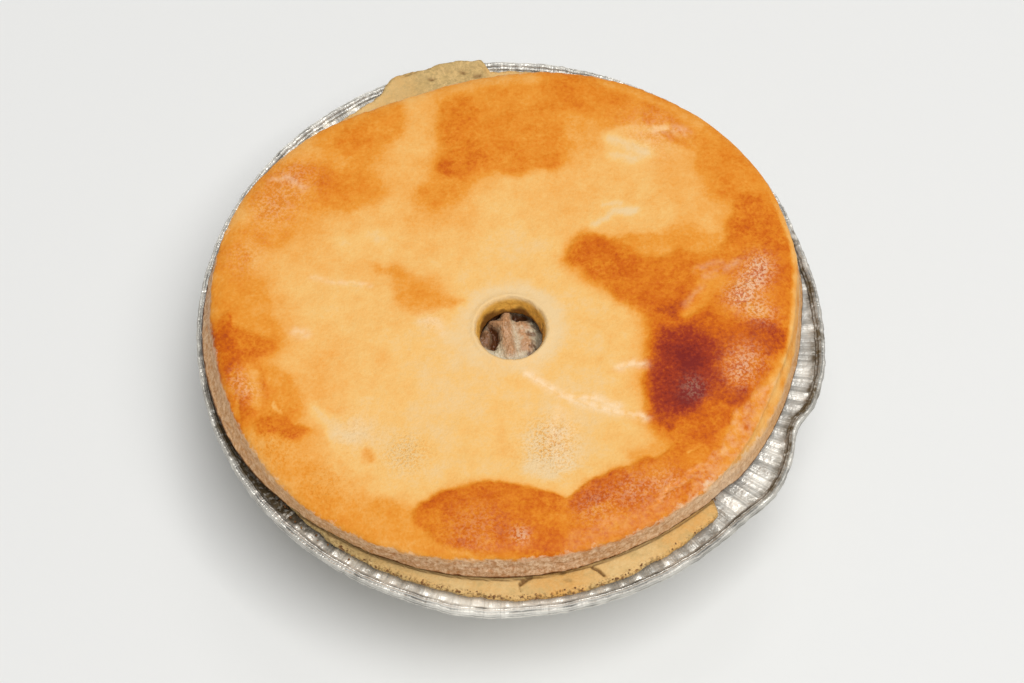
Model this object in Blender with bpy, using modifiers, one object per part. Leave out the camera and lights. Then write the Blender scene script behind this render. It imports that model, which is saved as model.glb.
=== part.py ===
"""A chicken pie in the foil tin it was baked in: a thick pastry lid with a round steam vent lies on a pastry
case, which fills the pleated tin and spreads over part of its flange.

Each piece starts as a turned blank, a profile swept once round +Z by a Screw modifier, and a relief function
then moves its points, because nothing on a baked pie is quite round or flat. The origin is the centre of the
tin's rim, on the surface that the pie stands on. -Y is the side with the widest pastry ledge and +X is to the
right of it, as seen from there. Angles are in degrees from +X towards +Y.
"""

import bpy
import numpy as np

MM = 0.001  # every size below is in millimetres, and a mesh is scaled to metres when it is made
SEED = 20
GAP = 0.3  # air between pieces that touch
HAIR = 0.1  # how closely points are picked by their radius or height
SHARP_ANGLE = 40.0

# Foil tin
TIN_HEIGHT = 30.0
RIM_RADIUS = 61.9
RIM_OVAL = 0.55  # the rim is this much longer front to back than the mean, and shorter side to side
RIM_DENTS = (  # (angle, how far out, half width in degrees)
    (-37.0, 1.25, 6.0),
    (-24.0, -1.45, 4.0),
    (-12.0, 0.75, 9.0),
    (17.0, -0.6, 9.0),
    (-97.0, 0.6, 8.0),
    (104.0, 0.5, 12.0),
)
BEAD_RADIUS = 1.1  # the foil's edge, rolled up tight
BEAD_SIDES = 5
BEAD_START, BEAD_END = 140.0, -150.0  # where the flange's two faces run into the bead
FOIL = 0.3
FLANGE_OUTER_RADIUS = RIM_RADIUS - 2 * BEAD_RADIUS - HAIR
FLANGE_OUTER_Z = 28.9
FLANGE_INNER_Z = 27.8
FLANGE_INNER_RADIUS = 53.6
WALL_TOP_Z = 26.9
WALL_TOP_RADIUS = 52.9
FOOT_RADIUS = 42.1
FOOT_CORNER = 1.1
PLEATS = 120
PLEAT_DEPTH = 0.36  # in and out on the wall's top, up and down on the flange
PLEAT_LEAST, PLEAT_MOST = 0.55, 1.1  # each pleat's share of that depth is drawn between these

# Pastry case
CASE_COLUMNS = 80  # as many as the lid, so that the gap between them is even
PASTRY = 4.5
WALL_GAP = 0.4  # air between the case and the deepest pleats
CASE_FLOOR_Z = 1.4
CASE_FOOT_ROUNDING = 1.4
CAVITY_CORNER_IN, CAVITY_CORNER_UP = 1.0, 2.0
CASE_TOP_Z = 31.4
CASE_LIP_DROP = 0.4  # the top dips this much towards the cavity
NECK_OUT, NECK_DROP = 0.4, 0.2  # where the case turns outwards over the top of the tin's wall
LEDGE_RADIUS = 59.0
LEDGE_THICKNESS = 1.95
LEDGE_ROUNDING = 0.8
LEDGE_UNDERCUT = 0.5
NO_LEDGE_RADIUS = 53.3
NO_LEDGE_TUCK = 0.3  # how far the torn edge curls down
LEDGE_EDGE = {  # radius of the ledge's outer edge, where there is one
    -170: 56.0,
    -145: 56.5,
    -127: 58.2,
    -109: 59.1,
    -88: 60.1,
    -70: 59.5,
    -50: 57.9,
    -20: 57.0,
    30: 56.5,
    80: 58.0,
    125: 58.0,
    150: 56.5,
}
TEAR_START, TEAR_END = -45.0, 25.0  # there is no ledge between these angles
TEAR_STEP = 4.0
FLAP_ANGLE, FLAP_HALF_WIDTH, FLAP_STEP = 104.5, 10.0, 4.0  # a flap of the ledge that laps right over the rim
FLAP_REACH = 62.0
FLAP_LIFT = 0.5
FLAP_UNDER_Z = TIN_HEIGHT + 2.4 * GAP

# Filling
FILLING_COLUMNS = 40
FILLING_GAP = GAP + HAIR
FILLING_TOP_Z = 34.55
FILLING_EDGE_Z = 31.3
FILLING_SHOULDER_IN, FILLING_SHOULDER_DOWN = 0.6, 1.0
FILLING_RINGS = (40.5, 30.0, 20.0, 14.0, 11.0, 8.5, 6.0, 3.5)
FILLING_RELIEF = (  # (x, y, spread, height): sunk places round a chunk of chicken under the vent
    (-4.2, -7.6, 2.3, -4.0),
    (3.2, -2.6, 2.2, -3.6),
    (5.6, -9.0, 2.0, -1.6),
    (-1.0, -12.6, 2.2, -1.2),
)

# Pastry lid
LID_COLUMNS = 80
LID_RADIUS = 56.0
LID_UNDER_Z = 31.8  # at its thick edge
LID_THIN_UNDER_Z = 35.0  # over the filling, as the vent shows
LID_THIN_RADIUS, LID_THICK_RADIUS = 41.0, 46.5
LID_TOP_Z = 39.3
LID_CROWN = 0.5
LID_SAG = 2.0  # how far the lid's edge settles where it has no ledge under it
SAG_START, SAG_MIDDLE, SAG_END = 50.0, 51.8, 55.5
SETTLE_LAG = 5.0  # degrees that the lid needs past the ledge's torn end to settle
LID_ROUNDING = 1.6
LID_SHOULDER = ((2.4, 0.0), (1.0, 0.16), (0.5, 0.45), (0.0, 1.0))  # (back, down) from the corner, in roundings
LID_LOWER_ROUNDING = 0.8
LID_SIDE_BULGE = 0.7  # under 1, the side bulges between its lower and upper edges
LID_FREE_WIDTH = 24.0  # the outline is stretched over this width of the top
LID_RINGS = (47.0, 39.0, 31.0, 23.0, 15.0, 7.5)
LID_UPPER_EDGE = {  # radius where the side turns into the top
    -165: 57.3,
    -135: 58.2,
    -112: 57.0,
    -90: 55.2,
    -60: 54.9,
    -25: 54.6,
    0: 55.1,
    30: 57.9,
    56: 57.0,
    80: 53.8,
    96: 51.9,
    115: 51.5,
    135: 54.0,
    160: 57.2,
}
LID_LOWER_EDGE = {  # radius at the bottom of the side
    -171: 60.0,
    -150: 59.2,
    -127: 57.5,
    -90: 56.1,
    -62: 55.0,
    -35: 55.7,
    -5: 56.9,
    16: 59.1,
    45: 59.0,
    75: 56.0,
    110: 54.0,
    140: 56.8,
    165: 59.3,
}
LID_SWELLS = (  # (x, y, spread, height) of blisters and hollows in the top
    (4.0, 42.0, 13.0, 0.75),
    (-36.0, 31.0, 10.0, 0.45),
    (44.0, 30.0, 9.0, 0.5),
    (36.0, 3.0, 12.0, 0.8),
    (40.0, -19.0, 8.0, 0.5),
    (24.0, -41.0, 8.0, 0.75),
    (-4.0, -48.0, 9.0, 0.75),
    (-50.0, -11.0, 8.0, 0.6),
    (-17.0, 2.0, 6.0, 0.3),
    (-28.0, -30.0, 9.0, -0.4),
    (9.0, -29.0, 8.0, -0.45),
    (2.0, 16.0, 12.0, -0.35),
)
CHAMFER_ANGLE, CHAMFER_HALF_WIDTH = -24.0, 17.0  # the lid's edge is worn to a wide slope here
CHAMFER_OUTER, CHAMFER_INNER = 1.0, 7.0  # how far in from the edge the slope ends and starts
CHAMFER_IN, CHAMFER_DROP = 1.1, 1.3

# Steam vent
VENT_X, VENT_Y = 0.2, -7.1
VENT_RADIUS = 5.9  # at the bottom
VENT_FLARE = 0.7
VENT_LIP = 0.8
VENT_LIP_CURVE = ((1.7, 0.25), (0.8, -0.3), (0.25, -1.2), (0.0, -2.0))  # (out, up) from the throat, in lips
VENT_SIDES = 32
CUTTER_MARGIN = 3.0


# ---------------------------------------------------------------- shape functions


def smoothstep(low, high, value):
    """0 below low, 1 above high and a smooth rise between them."""
    t = np.clip((value - low) / (high - low), 0.0, 1.0)
    return t * t * (3.0 - 2.0 * t)


def turn_between(angle, centre):
    """The signed difference in degrees, from -180 to 180."""
    return (angle - centre + 180.0) % 360.0 - 180.0


def bump_at(angle, centre, half_width):
    """A bell that is 1 at the centre angle and falls to a third at the half width."""
    return np.exp(-((turn_between(angle, centre) / half_width) ** 2))


def around(stations, angle):
    """The radius at each angle of the smooth closed curve through {angle: radius} stations, by cubic Hermite
    pieces whose slope at a station is that of the line between its neighbours."""
    knots = np.array(sorted(stations), float)
    radii = np.array([stations[int(k)] for k in knots])
    knots = np.concatenate([knots[-2:] - 360.0, knots, knots[:2] + 360.0])
    radii = np.concatenate([radii[-2:], radii, radii[:2]])
    slopes = np.gradient(radii, knots)
    slopes[1:-1] = (radii[2:] - radii[:-2]) / (knots[2:] - knots[:-2])
    turned = turn_between(angle, 0.0)
    i = np.clip(np.searchsorted(knots, turned) - 1, 0, len(knots) - 2)
    span = knots[i + 1] - knots[i]
    t = (turned - knots[i]) / span
    return (
        radii[i] * (1 + 2 * t) * (1 - t) ** 2
        + slopes[i] * span * t * (1 - t) ** 2
        + radii[i + 1] * t * t * (3 - 2 * t)
        + slopes[i + 1] * span * t * t * (t - 1)
    )


def hills(x, y, places):
    """The sum of round hills, each (x, y, spread, height)."""
    total = np.zeros_like(x)
    for hill_x, hill_y, spread, height in places:
        total += height * np.exp(-((x - hill_x) ** 2 + (y - hill_y) ** 2) / (2 * spread**2))
    return total


def rim_radius(angle):
    """The outside of the tin's rim: a slight oval with a few knocks in it."""
    radius = RIM_RADIUS - RIM_OVAL * np.cos(np.radians(2.0 * angle))
    for centre, out, half_width in RIM_DENTS:
        radius = radius + out * bump_at(angle, centre, half_width)
    return radius


def ledge_there(angle, lag=0.0):
    """1 where the case has a ledge on the flange, 0 where it is torn away. A lag narrows the torn stretch."""
    middle = (TEAR_START + TEAR_END) / 2
    half = (TEAR_END - TEAR_START) / 2 - lag
    return smoothstep(half - TEAR_STEP / 2, half + TEAR_STEP / 2, abs(turn_between(angle, middle)))


def flap_there(angle):
    """1 in the middle of the flap that laps over the rim, 0 away from it."""
    off = abs(turn_between(angle, FLAP_ANGLE))
    return 1.0 - smoothstep(FLAP_HALF_WIDTH - FLAP_STEP, FLAP_HALF_WIDTH + FLAP_STEP, off)


def ledge_radius(angle):
    """The case's outer edge at the top: a ledge inside the rim's bead, no ledge, or the flap over the bead."""
    inside_bead = rim_radius(angle) - 2 * BEAD_RADIUS - GAP
    edge = np.minimum(around(LEDGE_EDGE, angle), inside_bead)
    edge = NO_LEDGE_RADIUS + (edge - NO_LEDGE_RADIUS) * ledge_there(angle)
    return edge + (FLAP_REACH - edge) * flap_there(angle)


def sag(radius, bare):
    """How far the edges of the lid and the case lie lower where bare is 1 and the case has no ledge."""
    return LID_SAG * bare * smoothstep(SAG_START, SAG_END, radius)


def chamfer_there(angle):
    """1 where the lid's edge is worn to a wide slope, 0 away from it."""
    return bump_at(angle, CHAMFER_ANGLE, CHAMFER_HALF_WIDTH)


# ---------------------------------------------------------------- building tools


def new_collection(name):
    """A new collection in the scene."""
    collection = bpy.data.collections.new(name)
    bpy.context.scene.collection.children.link(collection)
    return collection


def finish_material(obj, colour, roughness, metallic=0.0):
    """Gives the object a Principled material of its own."""
    material = bpy.data.materials.new(obj.name)
    material.use_nodes = True
    shader = material.node_tree.nodes["Principled BSDF"]
    shader.inputs["Base Color"].default_value = (*colour, 1.0)
    shader.inputs["Roughness"].default_value = roughness
    shader.inputs["Metallic"].default_value = metallic
    obj.data.materials.append(material)


def turned_mesh(name, profile, columns):
    """Turns a profile of (radius, height), from the top down its outer side, once round +Z."""
    wire = bpy.data.meshes.new(name + "_profile")
    points = [(radius * MM, 0.0, height * MM) for radius, height in profile]
    wire.from_pydata(points, [(i, i + 1) for i in range(len(points) - 1)], [])
    blank = bpy.data.objects.new(name + "_blank", wire)
    bpy.context.scene.collection.objects.link(blank)
    screw = blank.modifiers.new("turn", "SCREW")
    screw.steps = screw.render_steps = columns
    screw.use_merge_vertices = True
    screw.merge_threshold = HAIR / 10 * MM
    bpy.context.view_layer.update()
    depsgraph = bpy.context.evaluated_depsgraph_get()
    mesh = bpy.data.meshes.new_from_object(blank.evaluated_get(depsgraph))
    mesh.name = name
    bpy.data.objects.remove(blank)
    bpy.data.meshes.remove(wire)
    return mesh


def turned_piece(collection, name, profile, columns, relief):
    """A turned blank whose points relief(radius, angle, height) then moves, by returning their new radii and
    heights."""
    mesh = turned_mesh(name, profile, columns)
    places = np.empty(len(mesh.vertices) * 3)
    mesh.vertices.foreach_get("co", places)
    x, y, height = places.reshape(-1, 3).T / MM
    radius, angle = np.hypot(x, y), np.degrees(np.arctan2(y, x))
    radius, height = relief(radius, angle, height)
    turn = np.radians(angle)
    moved = np.stack([radius * np.cos(turn), radius * np.sin(turn), height], axis=1) * MM
    mesh.vertices.foreach_set("co", moved.ravel())
    mesh.update()
    mesh.shade_smooth()
    mesh.set_sharp_from_angle(angle=np.radians(SHARP_ANGLE))
    obj = bpy.data.objects.new(name, mesh)
    collection.objects.link(obj)
    split = obj.modifiers.new("split", "TRIANGULATE")  # the same diagonals on both sides of a thin wall
    split.quad_method = "SHORTEST_DIAGONAL"
    return obj


# ---------------------------------------------------------------- the pieces


def bead_profile():
    """The rolled rim, from its inner top over the outside to its inner underside."""
    middle_radius = RIM_RADIUS - BEAD_RADIUS
    middle_z = TIN_HEIGHT - BEAD_RADIUS
    turns = np.radians(np.linspace(BEAD_START, BEAD_END, BEAD_SIDES + 1))
    return [
        (middle_radius + BEAD_RADIUS * np.cos(turn), middle_z + BEAD_RADIUS * np.sin(turn)) for turn in turns
    ]


def tin_profile():
    """The foil's upper side from the middle of the base out to the bead, then its underside back."""
    upper = [
        (0.0, FOIL),
        (FOOT_RADIUS, FOIL),
        (FOOT_RADIUS + FOOT_CORNER, FOIL + FOOT_CORNER),
        (WALL_TOP_RADIUS, WALL_TOP_Z),
        (FLANGE_INNER_RADIUS, FLANGE_INNER_Z),
        (FLANGE_OUTER_RADIUS, FLANGE_OUTER_Z),
    ]
    under = [
        (FLANGE_OUTER_RADIUS, FLANGE_OUTER_Z - FOIL),
        (FLANGE_INNER_RADIUS + FOIL / 2, FLANGE_INNER_Z - FOIL),
        (FOOT_RADIUS + FOOT_CORNER + FOIL, FOOT_CORNER),
        (FOOT_RADIUS, 0.0),
        (0.0, 0.0),
    ]
    return upper + bead_profile() + under


def make_tin(collection):
    """The foil tin: a flat base, a sloping pleated wall, a nearly flat pleated flange and a rolled rim."""
    draws = np.random.default_rng(SEED)
    depths = PLEAT_DEPTH * draws.uniform(PLEAT_LEAST, PLEAT_MOST, PLEATS)

    def relief(radius, angle, height):
        column = np.round(angle / (180.0 / PLEATS)).astype(int) % (2 * PLEATS)
        fold = depths[column // 2] * np.where(column % 2, 1.0, -1.0)
        on_wall = smoothstep(FOOT_CORNER, WALL_TOP_Z, height) * (radius < FLANGE_INNER_RADIUS - HAIR)
        on_flange = (radius > FLANGE_INNER_RADIUS - HAIR) & (radius < FLANGE_OUTER_RADIUS + HAIR)
        knocked = (rim_radius(angle) - RIM_RADIUS) * smoothstep(WALL_TOP_RADIUS, FLANGE_OUTER_RADIUS, radius)
        return radius + knocked - fold * on_wall, height + fold * on_flange

    tin = turned_piece(collection, "foil_tin", tin_profile(), 2 * PLEATS, relief)
    finish_material(tin, (0.80, 0.80, 0.79), 0.25, 1.0)


def wall_radius(height):
    """The radius of the case's outer wall at this height, clear of the tin's pleats, which deepen upwards."""
    low_radius, low_z = FOOT_RADIUS + FOOT_CORNER, FOIL + FOOT_CORNER
    share = (height - low_z) / (WALL_TOP_Z - low_z)
    deepest_pleat = PLEAT_DEPTH * PLEAT_MOST
    return low_radius + (WALL_TOP_RADIUS - low_radius - deepest_pleat) * share - WALL_GAP


def case_profile():
    """The pastry case: cavity floor, inner wall, top, ledge, underside of the ledge, outer wall and base."""
    neck_radius = wall_radius(WALL_TOP_Z)
    neck_z = FLANGE_INNER_Z + PLEAT_DEPTH + GAP
    foot_z = CASE_FLOOR_Z + CASE_FOOT_ROUNDING
    cavity_z = CASE_FLOOR_Z + PASTRY
    corner_z = cavity_z + CAVITY_CORNER_UP
    return [
        (0.0, cavity_z),
        (wall_radius(cavity_z) - PASTRY - CAVITY_CORNER_IN, cavity_z),
        (wall_radius(corner_z) - PASTRY, corner_z),
        (neck_radius - PASTRY, CASE_TOP_Z - CASE_LIP_DROP),
        (SAG_START, CASE_TOP_Z),
        (SAG_MIDDLE, CASE_TOP_Z),
        (LEDGE_RADIUS - LEDGE_ROUNDING, CASE_TOP_Z),
        (LEDGE_RADIUS, CASE_TOP_Z - LEDGE_ROUNDING),
        (LEDGE_RADIUS - LEDGE_UNDERCUT, CASE_TOP_Z - LEDGE_THICKNESS),
        (neck_radius + NECK_OUT, neck_z - NECK_DROP),
        (wall_radius(WALL_TOP_Z - 1.0), WALL_TOP_Z - 1.0),
        (wall_radius(foot_z), foot_z),
        (wall_radius(foot_z) - CASE_FOOT_ROUNDING, CASE_FLOOR_Z),
        (0.0, CASE_FLOOR_Z),
    ]


def make_case(collection):
    """The pastry case, with a ledge that comes and goes round the rim."""
    neck_radius = wall_radius(WALL_TOP_Z) + NECK_OUT
    under_z = CASE_TOP_Z - LEDGE_THICKNESS

    def relief(radius, angle, height):
        out = smoothstep(neck_radius + HAIR, LEDGE_RADIUS - LEDGE_ROUNDING, radius)
        moved = radius + (ledge_radius(angle) - LEDGE_RADIUS) * out
        on_top = height > (CASE_TOP_Z + under_z) / 2
        bare = 1.0 - ledge_there(angle)
        drop = sag(moved, bare) * on_top
        outer = (radius > LEDGE_RADIUS - LEDGE_ROUNDING - HAIR) & (height > under_z - HAIR)
        lift = flap_there(angle) * np.where(on_top, FLAP_LIFT, FLAP_UNDER_Z - under_z) * outer
        tuck = NO_LEDGE_TUCK * bare * (outer & ~on_top)
        return moved, height - drop + lift - tuck

    case = turned_piece(collection, "pastry_case", case_profile(), CASE_COLUMNS, relief)
    finish_material(case, (0.72, 0.47, 0.20), 0.6)


def filling_profile():
    """The filling's top in rings, and the sides and base that fit the case's cavity."""
    clear = PASTRY + FILLING_GAP
    floor_z = CASE_FLOOR_Z + PASTRY + GAP
    corner_z = floor_z + CAVITY_CORNER_UP
    shoulder_radius = wall_radius(WALL_TOP_Z) - clear - FILLING_SHOULDER_IN
    top = [(0.0, FILLING_TOP_Z)] + [(radius, FILLING_TOP_Z) for radius in reversed(FILLING_RINGS)]
    sides = [
        (LID_THICK_RADIUS - GAP, FILLING_EDGE_Z),
        (shoulder_radius, FILLING_EDGE_Z - FILLING_SHOULDER_DOWN),
        (wall_radius(corner_z) - clear, corner_z),
        (wall_radius(floor_z) - clear - CAVITY_CORNER_IN - HAIR, floor_z),
        (0.0, floor_z),
    ]
    return top + sides


def make_filling(collection):
    """Chicken in sauce, which fills the case and shows through the vent."""

    def relief(radius, angle, height):
        turn = np.radians(angle)
        x, y = radius * np.cos(turn), radius * np.sin(turn)
        on_top = height > FILLING_TOP_Z - HAIR
        return radius, height + hills(x, y, FILLING_RELIEF) * on_top

    filling = turned_piece(collection, "chicken_filling", filling_profile(), FILLING_COLUMNS, relief)
    finish_material(filling, (0.45, 0.28, 0.17), 0.35)


def lid_profile():
    """The lid: its top in rings, the rounded shoulder, the side, and an underside that can sag."""
    top = [(0.0, LID_TOP_Z)] + [(radius, LID_TOP_Z) for radius in reversed(LID_RINGS)]
    size = LID_ROUNDING
    shoulder = [(LID_RADIUS - back * size, LID_TOP_Z - down * size) for back, down in LID_SHOULDER]
    side = [
        (LID_RADIUS, (LID_TOP_Z + LID_UNDER_Z) / 2),
        (LID_RADIUS, LID_UNDER_Z + LID_LOWER_ROUNDING),
        (LID_RADIUS - LID_LOWER_ROUNDING, LID_UNDER_Z),
    ]
    under = [
        (SAG_MIDDLE, LID_UNDER_Z),
        (SAG_START, LID_UNDER_Z),
        (LID_THICK_RADIUS, LID_UNDER_Z),
        (LID_THIN_RADIUS, LID_THIN_UNDER_Z),
        (0.0, LID_THIN_UNDER_Z),
    ]
    return top + shoulder + side + under


def lid_edge(angle, height):
    """The lid's outline at this height, from its lower to its upper edge. A sunk edge stays in the bead."""
    lower = around(LID_LOWER_EDGE, angle)
    inside_bead = rim_radius(angle) - 2 * BEAD_RADIUS - 2 * GAP
    sunk = ledge_there(angle, SETTLE_LAG) < 1.0
    lower = np.where(sunk, np.minimum(lower, inside_bead), lower)
    upper = around(LID_UPPER_EDGE, angle)
    share = np.clip((height - LID_UNDER_Z) / (LID_TOP_Z - LID_ROUNDING - LID_UNDER_Z), 0.0, 1.0)
    return lower + (upper - lower) * share**LID_SIDE_BULGE


def make_lid(collection, cutters):
    """The browned pastry lid, a thick uneven disc, with the vent cut through it."""

    def relief(radius, angle, height):
        under = (radius < SAG_MIDDLE + HAIR) & (height < LID_THIN_UNDER_Z + HAIR)
        shoulder_radius = LID_RADIUS - LID_SHOULDER[0][0] * LID_ROUNDING
        out = smoothstep(LID_RADIUS - LID_FREE_WIDTH, shoulder_radius, radius) * ~under
        moved = radius + (lid_edge(angle, height) - LID_RADIUS) * out
        turn = np.radians(angle)
        x, y = moved * np.cos(turn), moved * np.sin(turn)
        top = smoothstep(LID_THIN_UNDER_Z, LID_TOP_Z - LID_ROUNDING, height)
        swell = hills(x, y, LID_SWELLS) + LID_CROWN * (1.0 - (radius / LID_RADIUS) ** 2)
        slope = smoothstep(LID_RADIUS - CHAMFER_INNER, LID_RADIUS - CHAMFER_OUTER, radius)
        worn = chamfer_there(angle) * top * slope
        low = 1.0 - smoothstep(LID_UNDER_Z + GAP, LID_TOP_Z, height)
        bare = 1.0 - ledge_there(angle, SETTLE_LAG)
        moved = moved - CHAMFER_IN * worn
        return moved, height + swell * top - CHAMFER_DROP * worn - sag(moved, bare) * low

    lid = turned_piece(collection, "pastry_lid", lid_profile(), LID_COLUMNS, relief)
    finish_material(lid, (0.80, 0.42, 0.12), 0.45)
    cut = lid.modifiers.new("vent", "BOOLEAN")
    cut.operation = "DIFFERENCE"
    cut.solver = "EXACT"
    cut.object = make_vent_cutter(cutters)


def make_vent_cutter(cutters):
    """The shape of the steam vent: a round hole whose upper lip is rounded."""
    lip_z = LID_TOP_Z + LID_CROWN
    throat = VENT_RADIUS + VENT_FLARE
    widest = throat + 2 * VENT_LIP
    lip = [(throat + out * VENT_LIP, lip_z + up * VENT_LIP) for out, up in VENT_LIP_CURVE]
    above = [(0.0, lip_z + CUTTER_MARGIN), (widest, lip_z + CUTTER_MARGIN)]
    below = [(VENT_RADIUS, LID_THIN_UNDER_Z), (VENT_RADIUS, LID_UNDER_Z), (0.0, LID_UNDER_Z)]
    cutter = bpy.data.objects.new("vent_cutter", turned_mesh("vent_cutter", above + lip + below, VENT_SIDES))
    cutter.location = (VENT_X * MM, VENT_Y * MM, 0.0)
    cutter.hide_render = True
    cutter.display_type = "WIRE"
    cutters.objects.link(cutter)
    return cutter


def main():
    for obj in list(bpy.data.objects):
        bpy.data.objects.remove(obj)
    pie = new_collection("chicken_pie")
    cutters = new_collection("cutters")
    make_tin(pie)
    make_case(pie)
    make_filling(pie)
    make_lid(pie, cutters)
    bpy.context.view_layer.update()


main()
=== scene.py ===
"""The looks of a baked chicken pie in its foil tin, built round the solid model of the pie.

The file is laid out as an add-on and is run as a script. Each piece is a surface worked out with numpy: rows
of points round +Z that follow a profile, moved by the same outlines, swells and folds as the solid, and then
by the finer relief of foil and pastry. All sizes in the shape functions are in millimetres, and a mesh is
scaled to metres when it is made. Angles are in degrees from +X towards +Y. -Y is the front.
"""

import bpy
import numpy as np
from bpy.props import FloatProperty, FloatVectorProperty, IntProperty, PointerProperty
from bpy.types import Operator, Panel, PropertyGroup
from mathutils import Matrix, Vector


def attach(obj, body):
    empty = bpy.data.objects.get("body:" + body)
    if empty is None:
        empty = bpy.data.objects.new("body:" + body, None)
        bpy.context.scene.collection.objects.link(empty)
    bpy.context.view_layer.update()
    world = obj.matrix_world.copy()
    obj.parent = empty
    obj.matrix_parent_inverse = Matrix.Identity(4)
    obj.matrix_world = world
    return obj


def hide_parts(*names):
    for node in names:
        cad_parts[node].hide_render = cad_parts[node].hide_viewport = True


bl_info = {
    "name": "Chicken Pie in a Foil Tin",
    "version": (1, 0, 0),
    "blender": (4, 5, 0),
    "location": "View3D > Sidebar > Pie",
    "description": "Builds the foil tin, pastry and filling of a baked chicken pie from parametric surfaces",
    "category": "Object",
}

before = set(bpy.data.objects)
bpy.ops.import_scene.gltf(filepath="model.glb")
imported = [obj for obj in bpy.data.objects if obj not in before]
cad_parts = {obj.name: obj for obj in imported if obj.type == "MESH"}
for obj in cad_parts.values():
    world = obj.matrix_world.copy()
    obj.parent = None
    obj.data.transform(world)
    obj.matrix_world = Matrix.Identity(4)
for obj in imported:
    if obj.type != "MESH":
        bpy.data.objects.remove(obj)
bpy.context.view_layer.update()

MM = 0.001
SEED = 20
GAP = 0.3  # air between pieces that touch
HAIR = 0.1  # the smallest step that keeps two places apart


# ---------------------------------------------------------------- settings


def tone(red, green, blue):
    """The linear colour of 8-bit display values, by the inverse of the display's transfer curve."""
    shares = np.array([red, green, blue]) / 255.0
    linear = np.where(shares < 0.04045, shares / 12.92, ((shares + 0.055) / 1.055) ** 2.4)
    return tuple(linear.tolist())


def length(name, description, millimetres):
    """A length that a user may change, with its default in millimetres."""
    return FloatProperty(name=name, description=description, default=millimetres * MM, unit="LENGTH")


def amount(name, description, default, unit="NONE"):
    """A power, a brightness or another number that a user may change."""
    return FloatProperty(name=name, description=description, default=default, min=0.0, unit=unit)


def paint(name, description, *display):
    """A colour that a user may change, with its default as 8-bit display values."""
    return FloatVectorProperty(name=name, description=description, default=tone(*display), subtype="COLOR")


class PieTinSettings(PropertyGroup):
    """Sizes and colours of the foil tin."""

    height: length("Height", "From the base to the top of the rim", 30.0)
    rim_radius: length("Rim radius", "Outside of the rim", 61.9)
    bead_radius: length("Bead radius", "Radius of the rolled edge", 1.1)
    foil: length("Foil", "Thickness of the wall", 0.3)
    pleats: IntProperty(name="Pleats", description="Number of pleats round the wall and flange", default=120)
    pleat_depth: length("Pleat depth", "Depth of a pleat", 0.36)
    crinkle: length("Crinkle", "Depth of dents in the foil", 0.12)
    metal: paint("Metal", "Bright foil", 230, 226, 216)
    # the same colour paints the shade, with baked-on grease, in the gap under the lid at the front left
    grease: paint("Grease", "Baked-on grease in the groove", 86, 72, 48)


class PieCaseSettings(PropertyGroup):
    """Sizes and colours of the pastry case."""

    pastry: length("Pastry", "Thickness of the case", 4.5)
    ledge: length("Ledge", "Thickness of the ledge", 1.95)
    crumb: length("Crumb", "Depth of the crumbly relief", 0.14)
    crumb_size: length("Crumb size", "Radius of a loose crumb", 0.23)
    pale: paint("Pale", "Pale pastry", 225, 193, 134)
    golden: paint("Golden", "Baked", 218, 164, 88)
    # this colour also carries the painted shade on the ledge at the left
    olive: paint("Olive", "Greasy dough", 198, 170, 112)
    # this colour also paints the shade in the ledge's cracks and along the lid's foot
    speck: paint("Speck", "Dark specks", 108, 70, 30)


class PieFillingSettings(PropertyGroup):
    """Relief and colours of the filling."""

    fibre: length("Fibre", "Depth of the meat's fibres", 0.18)
    chicken: paint("Chicken", "Meat", 204, 158, 116)
    sauce: paint("Sauce", "Pale sauce", 220, 208, 178)
    # this colour is painted shade in the filling's hollows and gaps
    hollow_shade: paint("Gravy", "Dark hollows", 96, 56, 28)


class PieLidSettings(PropertyGroup):
    """Sizes and colours of the pastry lid."""

    top: length("Top", "Height of the lid's top at its edge", 39.3)
    rounding: length("Rounding", "Roundness of the edge", 1.6)
    vent_radius: length("Vent radius", "Radius of the steam vent at its throat", 6.4)
    grain: length("Grain", "Depth of the skin's grain", 0.06)
    cream: paint("Cream", "Unbaked look", 235, 201, 148)
    straw: paint("Straw", "Barely baked", 241, 190, 113)
    golden: paint("Golden", "Lightly baked", 238, 172, 88)
    amber: paint("Amber", "Well baked", 231, 150, 52)
    orange: paint("Orange", "Browned", 222, 129, 30)
    brown: paint("Brown", "Deeply browned", 204, 99, 14)
    burnt: paint("Burnt", "Burnt spot", 160, 56, 26)
    charred: paint("Charred", "Middle of the burnt spot", 124, 36, 28)
    crumb: paint("Crumb", "Bare pastry of the side", 246, 212, 174)
    crust: paint("Crust", "Darker layers of the side", 186, 132, 88)
    # the same brown paints the shade along the foot of the side and low on the vent's wall
    shade: paint("Seam", "Brown line along the foot of the side, and soot in the vent", 104, 62, 24)
    sheen: paint("Sheen", "Pale wrinkles and blistered skin", 250, 222, 184)
    vent_wall: paint("Vent wall", "Baked wall of the vent", 244, 188, 86)


class PieStageSettings(PropertyGroup):
    """Floor, lights and camera."""

    floor_size: length("Floor size", "Side of the floor", 6000.0)
    floor: paint("Floor", "Pale floor", 232, 232, 230)
    lens: amount("Lens", "Focal length", 95.0, "CAMERA")
    key_power: amount("Key", "Softbox overhead", 32.0, "POWER")
    fill_power: amount("Fill", "Softbox at the back", 2.4, "POWER")
    sky: amount("Sky", "Strength of the even light all round", 0.3)
    mirrored: amount("Mirrored", "Brightness of the studio that the foil mirrors", 0.8)
    backdrop: amount("Backdrop", "Brightness of the studio behind the floor", 0.85)


# ---------------------------------------------------------------- shape of the pie


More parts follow.
